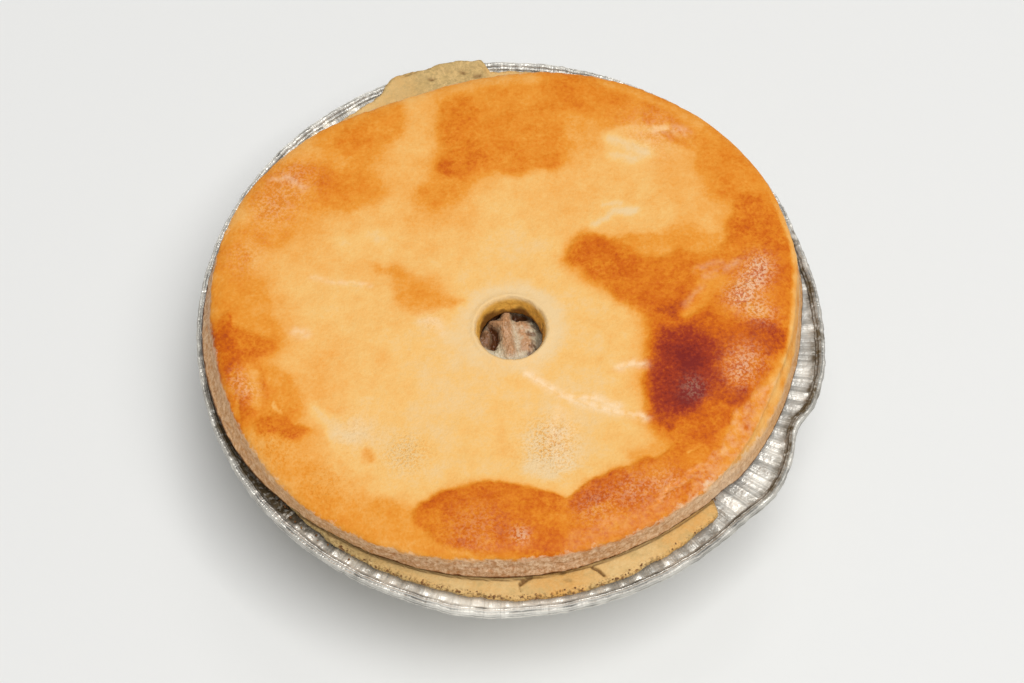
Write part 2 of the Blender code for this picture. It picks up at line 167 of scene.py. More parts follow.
RIM_OVAL = 0.55  # the rim is this much longer front to back than the mean, and shorter side to side
RIM_DENTS = (  # (angle, how far out, half width in degrees)
    (-37, 1.25, 6), (-24, -1.45, 4), (-12, 0.75, 9), (17, -0.6, 9), (-97, 0.6, 8), (104, 0.5, 12),
)
FLANGE_OUTER_Z = 28.9
FLANGE_INNER_Z = 27.8
FLANGE_INNER_RADIUS = 53.6
WALL_TOP_Z = 26.9
WALL_TOP_RADIUS = 52.9
FOOT_RADIUS = 42.1
FOOT_CORNER = 1.1
PLEAT_LEAST, PLEAT_MOST = 0.55, 1.1

WALL_GAP = 0.4
CASE_FLOOR_Z = 1.4
CASE_FOOT_ROUNDING = 1.4
CAVITY_CORNER_IN, CAVITY_CORNER_UP = 1.0, 2.0
CASE_TOP_Z = 31.4
CASE_LIP_DROP = 0.4
NECK_OUT, NECK_DROP = 0.4, 0.2
LEDGE_RADIUS = 59.0
LEDGE_ROUNDING = 0.8
LEDGE_UNDERCUT = 0.5
NO_LEDGE_RADIUS = 53.3
NO_LEDGE_TUCK = 0.3
LEDGE_EDGE = {  # radius of the ledge's outer edge, where there is one
    -170: 56, -145: 57.5, -127: 58.7, -109: 59.1, -88: 60.1, -70: 59.5, -50: 57.9, -20: 57, 30: 56.5,
    80: 58.8, 125: 58, 150: 56.5,
}
TEAR_START, TEAR_END = -47.0, 25.0  # there is no ledge between these angles
TEAR_STEP = 4.0
FLAP_ANGLE, FLAP_HALF_WIDTH, FLAP_STEP = 104.5, 10.0, 4.0  # a flap of the ledge that laps right over the rim
FLAP_REACH = 62.0
FLAP_LIFT = 0.5

FILLING_GAP = GAP + HAIR
FILLING_TOP_Z = 34.55
FILLING_EDGE_Z = 31.3
FILLING_SHOULDER_IN, FILLING_SHOULDER_DOWN = 0.6, 1.0
FILLING_HOLLOWS = (  # (points, half width, depth): gaps beside the chicken under the vent
    (((-3.9, -3.2), (-3, -4.8), (-3, -6.2), (-3.5, -7.6)), 0.9, 2.6),
    (((-3.6, -7.4), (-3.9, -7.9)), 0.7, 2),
    (((-6.2, -4.2), (-5.4, -2.4), (-2.4, -0.6)), 1.1, 2.8),
    (((0.9, -1.2), (1.6, -1.5), (2.8, -1.3)), 0.85, 2.8),
    (((4.8, -1.8), (6.2, -5.2), (5.2, -10)), 1.2, 1),
)

LID_RADIUS = 56.0
LID_UNDER_Z = 31.8
LID_THIN_UNDER_Z = 35.0
LID_THIN_RADIUS, LID_THICK_RADIUS = 41.0, 46.5
LID_CROWN = 0.5
LID_SAG = 2.0
SAG_START, SAG_MIDDLE, SAG_END = 50.0, 51.8, 55.5
SETTLE_LAG = 5.0
LID_SHOULDER_WIDTH = 2.4  # in roundings
LID_LOWER_ROUNDING = 0.45
LID_SIDE_BULGE = 0.7
LID_FREE_WIDTH = 24.0
LID_UPPER_EDGE = {  # radius where the side turns into the top
    -165: 57.3, -135: 58.2, -112: 57, -90: 55.2, -60: 54.9, -25: 54.6, 0: 55.5, 9: 56.7, 16: 56.9, 30: 57.3,
    56: 56.3, 80: 53.8, 96: 51.9, 115: 51.5, 135: 54.5, 160: 57.5,
}
LID_LOWER_EDGE = {  # radius at the bottom of the side
    -171: 60, -150: 59.7, -127: 57.5, -90: 56.1, -62: 55, -35: 55.7, -5: 56.9, 16: 59.1, 45: 59, 75: 56,
    110: 54, 140: 56.8, 165: 59.3,
}
LID_SWELLS = (  # (x, y, spread, height) of blisters and hollows in the top
    (4, 42, 13, 0.75), (-36, 31, 10, 0.45), (44, 30, 9, 0.5), (36, 3, 12, 0.8), (40, -19, 8, 0.5),
    (24, -41, 8, 0.75), (-4, -48, 9, 0.75), (-50, -11, 8, 0.6), (-17, 2, 6, 0.3), (-28, -30, 9, -0.4),
    (9, -29, 8, -0.45), (2, 16, 12, -0.35),
)
CHAMFER_ANGLE, CHAMFER_HALF_WIDTH = -24.0, 17.0
CHAMFER_OUTER, CHAMFER_INNER = 1.0, 7.0
CHAMFER_IN, CHAMFER_DROP = 1.1, 1.3

VENT_X, VENT_Y = 0.2, -7.1
VENT_FOOT_RADIUS = 5.9
VENT_LIP_WIDTH, VENT_LIP_DEPTH = 1.3, 1.5
VENT_THROAT_DROP = 0.6


# ---------------------------------------------------------------- browning of the lid, by place


BROWNING_BASE = 0.31
BROWNING_HILLS = (  # (x, y, spread, amount): broad browning towards the edge, and paler middles
    (-50, -3, 7, 0.26), (-44, 26, 12, 0.22), (-24, 44, 9, 0.2), (-46, -36, 8, 0.3), (-32, -46, 8, 0.24),
    (-14, 18, 6, 0.12), (2, 48, 12, 0.17), (36, 43, 9, 0.24), (50, 22, 7, 0.22), (2, -27, 4, 0.08),
    (-38, -17, 6, 0.1), (12, 24, 8, 0.08), (2, 10, 7, -0.1), (33, 23, 5, 0.1), (-12, -24, 7, -0.06),
    (-36, -25.5, 3.6, 0.16), (15, -5, 5, -0.08), (-45, -21, 4, -0.12), (-45, -34, 5, -0.12),
    (-12, -11, 4, -0.05), (2, 27, 3, -0.06), (-40, -2, 7, -0.07), (9, -29, 8, -0.16), (-9, -13, 8, -0.1),
    (-29, -32, 6, -0.14), (-20, -38, 6, -0.12),
)
BROWN_PATCHES = (  # (outline, browning it reaches, softness of its edge), later ones over earlier ones
    # pale strip at the back left, and the pale tongue below it
    (((-18.5, 50), (-15, 51), (-13, 47), (-14, 40), (-15, 34), (-18, 29), (-21, 32), (-20, 40)), 0.4, 1.4),
    (((-34, 13.5), (-29, 15), (-24, 16), (-21, 14), (-22, 11), (-26, 11.5), (-31, 11.5)), 0.25, 1.6),
    # back: wide patch, its tongue and its dark hook
    (((-13, 54), (-12.5, 42), (-13.5, 34), (-11, 28), (-5, 28), (2, 29.6), (10, 29.8), (13, 33), (12, 40),
      (14, 47), (10, 56), (-4, 57)), 0.66, 1.5),
    (((-18.5, 23), (-17, 20.5), (-11, 21), (-7.5, 24), (-5.5, 28), (-7, 32), (-11, 30), (-15, 27)), 0.65,
      1.8),
    (((-12, 46), (-10, 47), (-8.5, 43), (-5, 40), (0, 42), (3, 42), (3, 37), (1, 31.5), (-5, 30), (-11, 28),
      (-12.5, 33), (-12.5, 40)), 0.73, 1.4),
    (((-13.5, 29), (-11.5, 33), (-8.5, 35.5), (-5, 34.5), (-4, 31.5), (-6.5, 29), (-10.5, 27.5)), 0.82,
      1.5),
    (((-6, 31), (0, 31.6), (6, 31.8), (11, 31.6), (11, 30), (5, 29.6), (-2, 29)), 0.72, 1),
    # back right edge
    (((9, 56), (9, 44), (14, 41.5), (20, 40), (27, 40.5), (33, 37.5), (37, 33), (42, 37), (36, 47),
      (24, 53)), 0.72, 2),
    (((12, 41), (14, 36), (18, 34.5), (20, 37), (18, 41)), 0.55, 1.5),
    (((10, 52), (10, 46), (15, 43.5), (20, 44), (21, 48), (16, 52)), 0.72, 1.6),
    (((36, 36), (38, 31), (39, 24), (43, 20), (46, 14), (54, 12), (57, 18), (53, 29), (44, 39)), 0.69, 2.4),
    # upper left
    (((-50, 30), (-44, 32), (-37, 31), (-30, 31), (-26, 29), (-24, 25), (-28, 20.5), (-34, 20), (-40, 20),
      (-46, 21), (-51, 22)), 0.69, 1.9),
    (((-45, 28.5), (-42, 31), (-38, 30.5), (-33, 28.5), (-28, 28), (-27, 25.5), (-31, 24), (-36, 25),
      (-40, 27)), 0.75, 1.2),
    (((-38, 38), (-34, 42), (-28, 46), (-21, 46), (-20, 40), (-24, 35), (-27, 31), (-33, 32), (-37, 34)),
      0.64, 1.8),
    (((-33, 33), (-30, 40), (-27, 41.5), (-27, 36), (-30, 33)), 0.74, 1),
    (((-56, 16), (-53, 18), (-51, 12), (-52, 6), (-56, 6)), 0.64, 1.2),
    (((-50, 20), (-43, 20), (-43, 14), (-46, 12), (-49, 14)), 0.62, 1.4),
    # smudge left of the vent
    (((-22.5, 1), (-21.5, 4.5), (-18.5, 5), (-15, 4), (-12.5, 1.5), (-11.5, -1.5), (-14, -3), (-17, -3.5),
      (-20.5, -2)), 0.56, 1.2),
    (((-19.5, 1), (-18.5, 3.5), (-16.5, 3), (-15.5, 0.5), (-17.5, -1)), 0.64, 1),
    # left edge
    (((-60, 0), (-57, 6), (-50, 7), (-46.5, 2), (-45, -4), (-43.5, -10), (-45, -14), (-47, -18), (-48, -22),
      (-45, -24), (-41, -27), (-42, -30), (-46, -31), (-50, -30), (-55, -24), (-60, -12)), 0.61, 1.6),
    (((-57.5, -4), (-54, -2.5), (-52.5, -6), (-48, -8), (-45, -9), (-45.5, -11.5), (-48, -13.5),
      (-52, -14.5), (-52, -19), (-50.5, -26), (-53, -24), (-56, -17), (-58, -10)), 0.84, 1),
    (((-56.5, -8), (-55, -6), (-53.5, -9), (-53, -15), (-54, -18), (-55.5, -15)), 0.94, 0.8),
    (((-48.5, -26), (-46, -25.3), (-41, -26.6), (-37.5, -28), (-39, -29.4), (-44, -28.8), (-48, -28)), 0.84,
      1),
    (((-53, -18), (-52, -16), (-50.5, -17), (-51, -20)), 0.78, 0.8),
    (((-57, -18), (-54, -19), (-52.5, -24), (-51, -28), (-51, -31), (-53, -30), (-55.5, -25)), 0.78, 1),
    # pale blotch at the lower left, with a brown spot beside it
    (((-34, -27), (-31, -26.5), (-28, -27.5), (-28, -31), (-31, -31)), 0.1, 1.2),
    (((-28, -33), (-27, -32), (-26, -33.5), (-26.5, -35.5), (-27.6, -35)), 0.55, 0.7),
    # pale textured skin in front of the vent
    (((3, -29), (8, -27.5), (11, -29), (12.5, -33), (12, -37), (8, -38.3), (3, -38.3), (2.5, -33)), 0.12,
      2.2),
    (((2, -37), (6, -35.5), (10, -34.5), (12, -36.5), (9, -38.3), (4, -38.3)), 0.04, 0.9),
    # front lobes with their crisp upper edges
    (((-36, -45), (-28, -47), (-20, -49), (-12, -54), (-14, -58), (-26, -56), (-38, -50)), 0.6, 1.6),
    (((-20, -44), (-17, -46), (-18, -52), (-30, -52), (-36, -46), (-28, -44)), 0.6, 1.6),
    (((-18.8, -46.4), (-17.2, -44.2), (-14.8, -42.6), (-12, -41.2), (-8, -40.3), (-3, -40), (2, -40.8),
      (6, -42.3), (9.5, -44), (12, -50), (12, -57), (0, -58), (-8, -54.4), (-16, -50)), 0.85, 0.8),
    (((8, -45.5), (11, -42.5), (14, -40.3), (18, -38), (22, -36.8), (27, -35.3), (32, -35), (37, -31),
      (41, -30), (40, -36), (34, -44), (26, -50), (16, -55), (9, -53)), 0.78, 0.8),
    (((13, -42), (16, -39.5), (21, -38.3), (22, -41), (18, -42), (15, -45), (12, -46.5), (10, -45)), 0.9,
      0.8),
    (((18, -44), (24, -42), (30, -41), (34, -42), (27, -47), (18, -50)), 0.84, 1.4),
    # right: rounded tip, main patch, its lighter top and its darker right edge
    (((10.8, 8), (12, 11.8), (15.5, 14.3), (20, 12.4), (26, 12), (30, 8), (30, 2), (29, -5), (24, -3.5),
      (19, 1), (14.5, 5.5)), 0.8, 1.4),
    (((24, 8), (30, 11.5), (38, 11.5), (43, 14), (46, 19), (51, 20), (56, 8), (56.5, -4), (54, -12),
      (50, -18), (46, -22), (43, -25), (40, -30), (36, -34), (30, -33.5), (26.5, -30), (24.8, -22), (26, -14),
      (26.5, -8), (25, -3)), 0.82, 1.5),
    (((22, 12.6), (30, 13), (38, 13.2), (43, 12.8), (41, 9.6), (33, 9.8), (24, 10.4)), 0.58, 1.6),
    (((12, 8), (14, 10.5), (17, 12.5), (19, 10), (22, 8), (22, 4), (19, 3.5), (15, 6)), 0.88, 1.2),
    (((43.5, 12), (44, 18), (46, 21.5), (50, 20.5), (53, 14), (54, 9), (49, 9), (45, 10)), 0.85, 1.3),
    # paler where the skin is blistered and shiny
    (((43, -3), (45, 3), (47, 7), (50, 6), (49.5, -2), (46, -6)), 0.82, 1.5),
    (((36, 3), (41, 4.2), (42.5, 1.2), (39, -0.6)), 0.66, 1.7),
    (((46, -3), (48, -2), (50, -5), (47, -6)), 0.68, 1),
    # dark band across the right, the burnt spot and what runs from it
    (((28, -4), (30, -3), (34, -7), (40, -6.5), (44, -7.5), (49, -6), (53, -9), (53, -13), (47, -13),
      (42, -14), (38, -14), (28, -12)), 0.95, 1.2),
    (((45.5, -9), (48, -7.5), (52, -9.5), (52.5, -12), (47, -12)), 1.02, 0.9),
    (((29, -8), (34, -7.5), (38.5, -11), (39.5, -16), (38, -20), (34, -21), (33, -26), (30, -30), (27, -28),
      (26.5, -20), (27.5, -13)), 1.08, 1.8),
    (((41, -15), (41.5, -18), (44, -20), (47, -19), (48, -16), (46, -14), (43, -14.5)), 0.82, 1.2),
    (((36, -20), (41, -20.5), (44.5, -22), (43, -24.5), (40, -23.5), (36, -25)), 1.02, 0.9),
    (((33, -24), (38, -25), (41, -27), (39, -30), (35, -31.5), (31, -31), (31, -28)), 0.9, 1),
    (((31, -12), (33.5, -11), (36.5, -13), (36.5, -17), (36, -21), (35, -25), (31, -26.5), (29.5, -23),
      (29.5, -17)), 1.15, 1.7),
    (((32, -13.5), (34, -13), (35.5, -15), (35, -17), (32.5, -16.5)), 1.25, 0.9),
    (((32, -19.5), (35, -18.5), (36, -21), (34.5, -24), (31.5, -24.5), (31, -22)), 1.24, 1),
)
BROWN_LINES = (  # (points, half width, browning it reaches): margins and streaks of browning
    (((11, 7.6), (13.2, 5.8), (18.4, 2), (24, -2.5), (26.5, -8), (26.5, -20), (27, -30), (29, -36)), 1.9,
      0.52),
    (((-14.5, 28), (-13.5, 36), (-13.5, 46)), 1.8, 0.5),
    (((-24.6, 6.8), (-22.6, 6.6), (-20.2, 4.6), (-18, 2.6)), 1.6, 0.62),
    (((-16, -0.4), (-12, -1.2), (-9, -0.8)), 1.3, 0.54),
    (((23, -34.8), (27, -33.4), (32, -32)), 1.8, 0.5),
)
PALE_LINES = (  # the same for pale streaks, over the patches
    (((21, 36), (24, 34.4), (27.5, 33)), 1.7, 0.1),
    (((21, 32), (25, 31)), 1.2, 0.14),
    (((22, 37.6), (26.8, 38.4), (31.8, 38.6)), 0.9, 0.3),
    (((17, 15.8), (20.4, 18.4), (25, 18.6)), 0.9, 0.08),
    (((18.6, 20), (22, 20.6)), 0.7, 0.14),
    (((-37, -24), (-33, -27), (-28, -28)), 1.6, 0.16),
    (((-24, -30), (-18, -30.6), (-13, -32)), 1.5, 0.2),
    (((-20, -36), (-14, -37)), 1.2, 0.22),
    (((-13, 47.5), (-6, 50.5), (1, 51), (6, 50.5)), 1.8, 0.5),
    (((33.6, -5), (36.4, -2.7), (38, -0.5)), 1.1, 0.64),
    (((20, 50), (26, 47), (33, 43.6), (39, 38.8)), 1.3, 0.54),
    (((-49, -16.5), (-47.8, -22.5)), 1.7, 0.5),
    (((-15, -53.2), (-8, -55.2), (0, -55.8)), 1, 0.62),
)
FLAKY_EDGE = (  # where the skin along the edge is broken into flakes
    (10, -51), (16, -49.5), (21, -48), (26.5, -45), (34, -47), (20, -58), (9, -58),
)
CRAZED_SPOTS = (  # (x, y, spread, amount) of skin broken by a net of fine cracks
    (-19.7, -33.6, 3, 0.9), (7, -34, 3.6, 0.9), (6, -29, 2.4, 0.5), (-45, -32, 3.6, 0.6), (-35, -40, 4, 0.5),
)
WORN_EDGE = (  # where the brown skin has flaked off the edge at the front right
    (53.8, -12.5), (50.5, -17.5), (46, -21.5), (43.2, -24.5), (40.8, -29), (38.5, -33.5), (33, -39.5),
    (24, -46.8), (31, -52), (42, -44), (52, -34), (59, -20), (59, -11),
)
# the glossy spots carry a thin coat and a painted net of pale highlights
GLOSSY_SPOTS = (  # (x, y, spread, amount)
    (48.5, 6, 1.7, 0.8), (47.6, 3.4, 1.8, 0.8), (45.6, 0.6, 2, 0.8), (43.4, -1.6, 1.6, 0.6),
    (46.5, -3.5, 1.8, 0.6), (49, -5, 1.6, 0.4), (44.6, -15, 2.4, 0.6), (43, -18.4, 1.8, 0.5),
    (34.2, -21, 1.6, 0.3), (22, -42.5, 2.6, 0.4), (28, -41, 2.2, 0.4), (15, -45.6, 2.6, 0.35),
    (1, -51, 1.1, 0.9), (-7, -50, 3.5, 0.25), (-51.5, -17.5, 1.6, 0.5), (-49.5, -20, 1.6, 0.4),
    (-42, 28, 3.4, 0.35), (-46, 21, 3.4, 0.4), (-51, 10, 3, 0.25), (7.5, -33, 3.2, 0.45), (9, -29, 2.2, 0.3),
    (29, 37, 4, 0.3), (-15, -5.5, 1.5, 0.3), (-29, -28.5, 3.2, 0.3),
)
CREASES = (  # (points, half width, how pale): thin wrinkles in the lid's skin
    (((3, -17), (7, -20), (12, -23), (18, -25), (25, -27)), 0.55, 1),
    (((10, -22), (15.5, -22.6), (20, -24.5)), 0.6, 0.9),
    (((20.5, -16.2), (23, -15.4), (25, -15.6)), 0.6, 0.9),
    (((-38, 5), (-33, 3.8), (-27, 3)), 0.4, 0.5),
    (((33.5, -3), (35.4, -0.8), (37.2, 1)), 0.4, 0.25),
    (((38, 3.4), (41, 4.6), (44, 6.5)), 0.5, 0.4),
    (((36, 4.6), (38.6, 6), (41, 6.4)), 0.4, 0.3),
    (((9, -25), (8, -30), (9, -36)), 0.8, 0.45),
    (((30, 38), (33, 38.4), (36, 37)), 0.6, 0.6),
    (((-17, -5), (-14, -5.5), (-13, -8)), 0.6, 0.4),
    (((-41, -7), (-39, -7.6)), 0.7, 0.6),
    (((-46, 27.5), (-43, 28), (-40, 25.5)), 0.5, 0.5),
)


# ---------------------------------------------------------------- arithmetic on whole arrays


def smoothstep(low, high, value):
    """0 below low, 1 above high and a smooth rise between them."""
    t = np.clip((value - low) / (high - low), 0.0, 1.0)
    return t * t * (3.0 - 2.0 * t)


def pulled(value, target, share):
    """The value moved this share of the way to the target."""
    return value + (target - value) * share


def bell(off, half_width):
    """1 where off is 0, falling on both sides to a third at the half width."""
    return np.exp(-((off / half_width) ** 2))


def turn_between(angle, centre):
    """The signed difference in degrees, from -180 to 180."""
    return (angle - centre + 180.0) % 360.0 - 180.0


def bump_at(angle, centre, half_width):
    """A bell round the centre angle."""
    return bell(turn_between(angle, centre), half_width)


def polar(radius, angle):
    """The x and y of a radius and an angle in degrees."""
    turn = np.radians(angle)
    return radius * np.cos(turn), radius * np.sin(turn)


def hermite(knots, values, slopes, at):
    """Cubic pieces between knots, each set by the values and slopes at its two ends."""
    i = np.clip(np.searchsorted(knots, at) - 1, 0, len(knots) - 2)
    span = knots[i + 1] - knots[i]
    t = (at - knots[i]) / span
    return (
        values[i] * (1 + 2 * t) * (1 - t) ** 2
        + slopes[i] * span * t * (1 - t) ** 2
        + values[i + 1] * t * t * (3 - 2 * t)
        + slopes[i + 1] * span * t * t * (t - 1)
    )


def wrapped(knots, values):
    """Angles in rising order and their values, with two repeated beyond each end of the circle."""
    knots = np.concatenate([knots[-2:] - 360.0, knots, knots[:2] + 360.0])
    return knots, np.concatenate([values[-2:], values, values[:2]])


def around(stations, angle):
    """The radius at each angle of a closed curve through {angle: radius} stations. Its slope at a station
    is that of the line between the station's neighbours."""
    angles = sorted(stations)
    knots, radii = wrapped(np.array(angles, float), np.array([stations[k] for k in angles], float))
    slopes = np.gradient(radii, knots)
    slopes[1:-1] = (radii[2:] - radii[:-2]) / (knots[2:] - knots[:-2])
    return hermite(knots, radii, slopes, turn_between(angle, 0.0))


def hills(x, y, places):
    """The sum of round hills, each (x, y, spread, height)."""
    total = np.zeros_like(x)
    for hill_x, hill_y, spread, height in places:
        total += height * np.exp(-((x - hill_x) ** 2 + (y - hill_y) ** 2) / (2 * spread**2))
    return total


def patch(x, y, outline, soft):
    """1 inside a smooth closed outline and 0 outside it, with an edge twice soft wide and a faint wider
    one. The outline's distance from the middle of its points is a curve of the angle that never overshoots
    them."""
    points = np.array(outline, float)
    middle = points.mean(axis=0)
    off = points - middle
    knots = np.degrees(np.arctan2(off[:, 1], off[:, 0]))
    order = np.argsort(knots)
    knots, reach = wrapped(knots[order], np.hypot(off[:, 0], off[:, 1])[order])
    rise = np.diff(reach) / np.diff(knots)
    same_way = rise[:-1] * rise[1:] > 0
    inner = np.where(same_way, 2 * rise[:-1] * rise[1:] / np.where(same_way, rise[:-1] + rise[1:], 1.0), 0.0)
    slopes = np.concatenate([[0.0], inner, [0.0]])
    edge = hermite(knots, reach, slopes, np.degrees(np.arctan2(y - middle[1], x - middle[0])))
    inside = edge - np.hypot(x - middle[0], y - middle[1])
    return 0.75 * smoothstep(-soft, soft, inside) + 0.25 * smoothstep(-3.0 * soft, 1.5 * soft, inside)


def stroke(x, y, points, half_width):
    """A bell across a line through the points, by the distance to the nearest of the line's straight
    pieces."""
    nearest = np.full(x.shape, np.inf)
    for (x0, y0), (x1, y1) in zip(points[:-1], points[1:]):
        along = ((x - x0) * (x1 - x0) + (y - y0) * (y1 - y0)) / ((x1 - x0) ** 2 + (y1 - y0) ** 2)
        along = np.clip(along, 0.0, 1.0)
        nearest = np.minimum(nearest, np.hypot(x - x0 - along * (x1 - x0), y - y0 - along * (y1 - y0)))
    return bell(nearest, half_width)


def value_noise(x, y, z, size, seed):
    """Smooth noise from -1 to 1: a random number at each corner of cubes of this size, blended across each
    cube by smoothstep weights."""
    table = np.random.default_rng(seed).uniform(-1.0, 1.0, 4096)
    cells, weights = [], []
    for place in (x, y, z):
        cell = np.floor(place / size)
        t = place / size - cell
        cells.append(cell.astype(np.int64))
        weights.append(t * t * (3.0 - 2.0 * t))
    total = np.zeros(np.shape(x))
    for corner in range(8):
        step = [(corner >> axis) & 1 for axis in range(3)]
        i, j, k = (cell + s for cell, s in zip(cells, step))
        share = np.ones(np.shape(x))
        for weight, s in zip(weights, step):
            share = share * (weight if s else 1.0 - weight)
        total += table[(i * 73856093 ^ j * 19349663 ^ k * 83492791) & 4095] * share
    return total


def cloud(x, y, z, size, seed, octaves=3):
    """Noise with detail: value noise of this size, plus half as much at half the size, and so on. Each
    caller gives a size in millimetres, a seed of its own and, if they aren't 3, the number of octaves."""
    total, share = np.zeros(np.shape(x)), 0.0
    for octave in range(octaves):
        total += value_noise(x, y, z, size / 2**octave, seed + octave) / 2**octave
        share += 1.0 / 2**octave
    return total / share


def mottle(x, y, size, seed, octaves=3):
    """The same noise on the level, the same at every height."""
    return cloud(x, y, 0 * x, size, seed, octaves)


def wobbled(x, y, reach, size, seeds, octaves=3):
    """The places moved sideways by noise, so that what is drawn on them gets a ragged outline."""
    return tuple(axis + reach * mottle(x, y, size, seed, octaves) for axis, seed in zip((x, y), seeds))


def line(first, last, count):
    """Evenly spaced values from the first up to, but not with, the last."""
    return np.linspace(first, last, count, endpoint=False)


def legs(stations, steps):
    """Points along straight legs between (radius, height) stations, with steps[i] points on leg i, as two
    arrays. Each leg starts on its station, and the last one ends just before the last station."""
    pairs = list(zip(stations[:-1], stations[1:], steps))
    return tuple(np.concatenate([line(a[i], b[i], count) for a, b, count in pairs]) for i in range(2))


# ---------------------------------------------------------------- outlines shared by the pieces


def rim_radius(angle):
    """The outside of the tin's rim: a slight oval with a few knocks in it."""
    radius = bpy.context.scene.pie_tin.rim_radius / MM - polar(RIM_OVAL, 2.0 * angle)[0]
    for centre, out, half_width in RIM_DENTS:
        radius = radius + out * bump_at(angle, centre, half_width)
    return radius


def inside_bead(angle, clear):
    """The radius that keeps clear of the rolled rim by this much."""
    return rim_radius(angle) - 2 * bpy.context.scene.pie_tin.bead_radius / MM - clear


def ledge_there(angle, lag=0.0):
    """1 where the case has a ledge on the flange, 0 where it is torn away. A lag narrows the torn stretch."""
    middle = (TEAR_START + TEAR_END) / 2
    half = (TEAR_END - TEAR_START) / 2 - lag
    return smoothstep(half - TEAR_STEP / 2, half + TEAR_STEP / 2, abs(turn_between(angle, middle)))


def flap_there(angle):
    """1 in the middle of the flap that laps over the rim, 0 away from it."""
    off = turn_between(angle, FLAP_ANGLE)
    left = 1.0 - smoothstep(FLAP_HALF_WIDTH - FLAP_STEP, FLAP_HALF_WIDTH + FLAP_STEP, off)
    return left * smoothstep(-FLAP_HALF_WIDTH - FLAP_STEP / 2, -FLAP_HALF_WIDTH, off)


def ledge_radius(angle):
    """The case's outer edge at the top: a ledge inside the rim's bead, no ledge, or the flap over the
    bead."""
    edge = np.minimum(around(LEDGE_EDGE, angle), inside_bead(angle, GAP))
    edge = pulled(NO_LEDGE_RADIUS, edge, ledge_there(angle))
    return pulled(edge, FLAP_REACH, flap_there(angle))


def sag(radius, bare):
    """How far the edges of the lid and the case lie lower where bare is 1 and the case has no ledge."""
    return LID_SAG * bare * smoothstep(SAG_START, SAG_END, radius)


def wall_radius(height):
    """The radius of the case's outer wall at this height, clear of the tin's pleats, which deepen upwards."""
    tin = bpy.context.scene.pie_tin
    low_radius, low_z = FOOT_RADIUS + FOOT_CORNER, tin.foil / MM + FOOT_CORNER
    share = (height - low_z) / (WALL_TOP_Z - low_z)
    deepest_pleat = tin.pleat_depth / MM * PLEAT_MOST
    return low_radius + (WALL_TOP_RADIUS - low_radius - deepest_pleat) * share - WALL_GAP


# ---------------------------------------------------------------- meshes


def round_grid(radius, height, columns):
    """Radius, height and angle arrays of rows by columns, from one profile and evenly spaced angles."""
    return np.broadcast_arrays(radius[:, None], height[:, None], line(-180.0, 180.0, columns)[None, :])


def closed_piece(name, x, y, z, masks, poles):
    """One mesh of closed shells. The last two axes of the points are a shell's rows, which close round, and
    its columns. With poles, two lists of one (x, y, z) per shell, a fan closes each end of a shell;
    without, its last row joins its first. Masks are arrays of the same shape, kept as attributes."""
    index = np.arange(x.size).reshape(-1, *x.shape[-2:])
    upper, lower = (index[:, :-1], index[:, 1:]) if poles else (index, np.roll(index, -1, axis=1))
    quads = np.stack([upper, lower, np.roll(lower, -1, axis=2), np.roll(upper, -1, axis=2)], axis=-1)
    faces = quads.reshape(-1, 4).tolist()
    places = np.stack([x, y, z], axis=-1).reshape(-1, 3)
    if poles:
        places = np.concatenate([places, *poles])
        first, last = index[:, 0], index[:, -1]
        top = x.size + np.arange(len(index))[:, None] + 0 * first
        fans = ([top, first, np.roll(first, -1, axis=1)], [last, top + len(index), np.roll(last, -1, axis=1)])
        for fan in fans:
            faces += np.stack(fan, axis=-1).reshape(-1, 3).tolist()
    mesh = bpy.data.meshes.new(name)
    mesh.from_pydata((places * MM).tolist(), [], faces)
    for title, values in masks.items():
        ends = [values[0].mean(), values[-1].mean()] if poles else []
        flat = np.concatenate([values.ravel(), ends]).astype(np.float32)
        mesh.attributes.new(title, "FLOAT", "POINT").data.foreach_set("value", flat)
    mesh.update()
    mesh.shade_smooth()
    return link_new(name, mesh)


def link_new(name, data):
    """A new object in the scene that shows this mesh, light or camera."""
    made = bpy.data.objects.new(name, data)
    bpy.context.scene.collection.objects.link(made)
    return made


def place_piece(piece, material, node):
    """Gives the piece its material, rides it on the pie's one body and lets it stand for a solid node."""
    piece.data.materials.append(material)
    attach(piece, "root")
    if node:
        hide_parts(node)


# ---------------------------------------------------------------- shader nodes


class Wire:
    """A value that runs through a shader tree. Arithmetic with wires and numbers adds a Math node for each
    step."""

    def __init__(self, socket):
        self.socket = socket
        self.tree = socket.id_data

    def step(self, operation, a, b=0.0):
        return put(self.tree, "ShaderNodeMath", {0: a, 1: b}, operation=operation)

    def __add__(self, other):
        return self.step("ADD", self, other)

    def __sub__(self, other):
        return self.step("SUBTRACT", self, other)

    def __rsub__(self, other):
        return self.step("SUBTRACT", other, self)

    def __mul__(self, other):
        return self.step("MULTIPLY", self, other)

    __radd__ = __add__
    __rmul__ = __mul__

    def __abs__(self):
        return self.step("ABSOLUTE", self)

    def larger(self, other):
        return self.step("MAXIMUM", self, other)

    def clamped(self):
        """The result of the last step, kept between 0 and 1."""
        self.socket.node.use_clamp = True
        return self


def feed(tree, node, inputs):
    """Fills a node's inputs with wires, numbers, vectors or colours."""
    for name, value in inputs.items():
        if isinstance(value, Wire):
            tree.links.new(value.socket, node.inputs[name])
        elif node.inputs[name].type == "RGBA":
            node.inputs[name].default_value = (*value[:3], 1.0)
        else:
            node.inputs[name].default_value = value


def put(tree, kind, inputs=None, output=0, **settings):
    """Adds a node, changes its settings, feeds its inputs and returns one output as a wire."""
    node = tree.nodes.new(kind)
    for name, value in settings.items():
        setattr(node, name, value)
    feed(tree, node, inputs or {})
    return Wire(node.outputs[output])


def scaled(colour, factor):
    """A lighter or darker colour."""
    return [factor * share for share in colour]


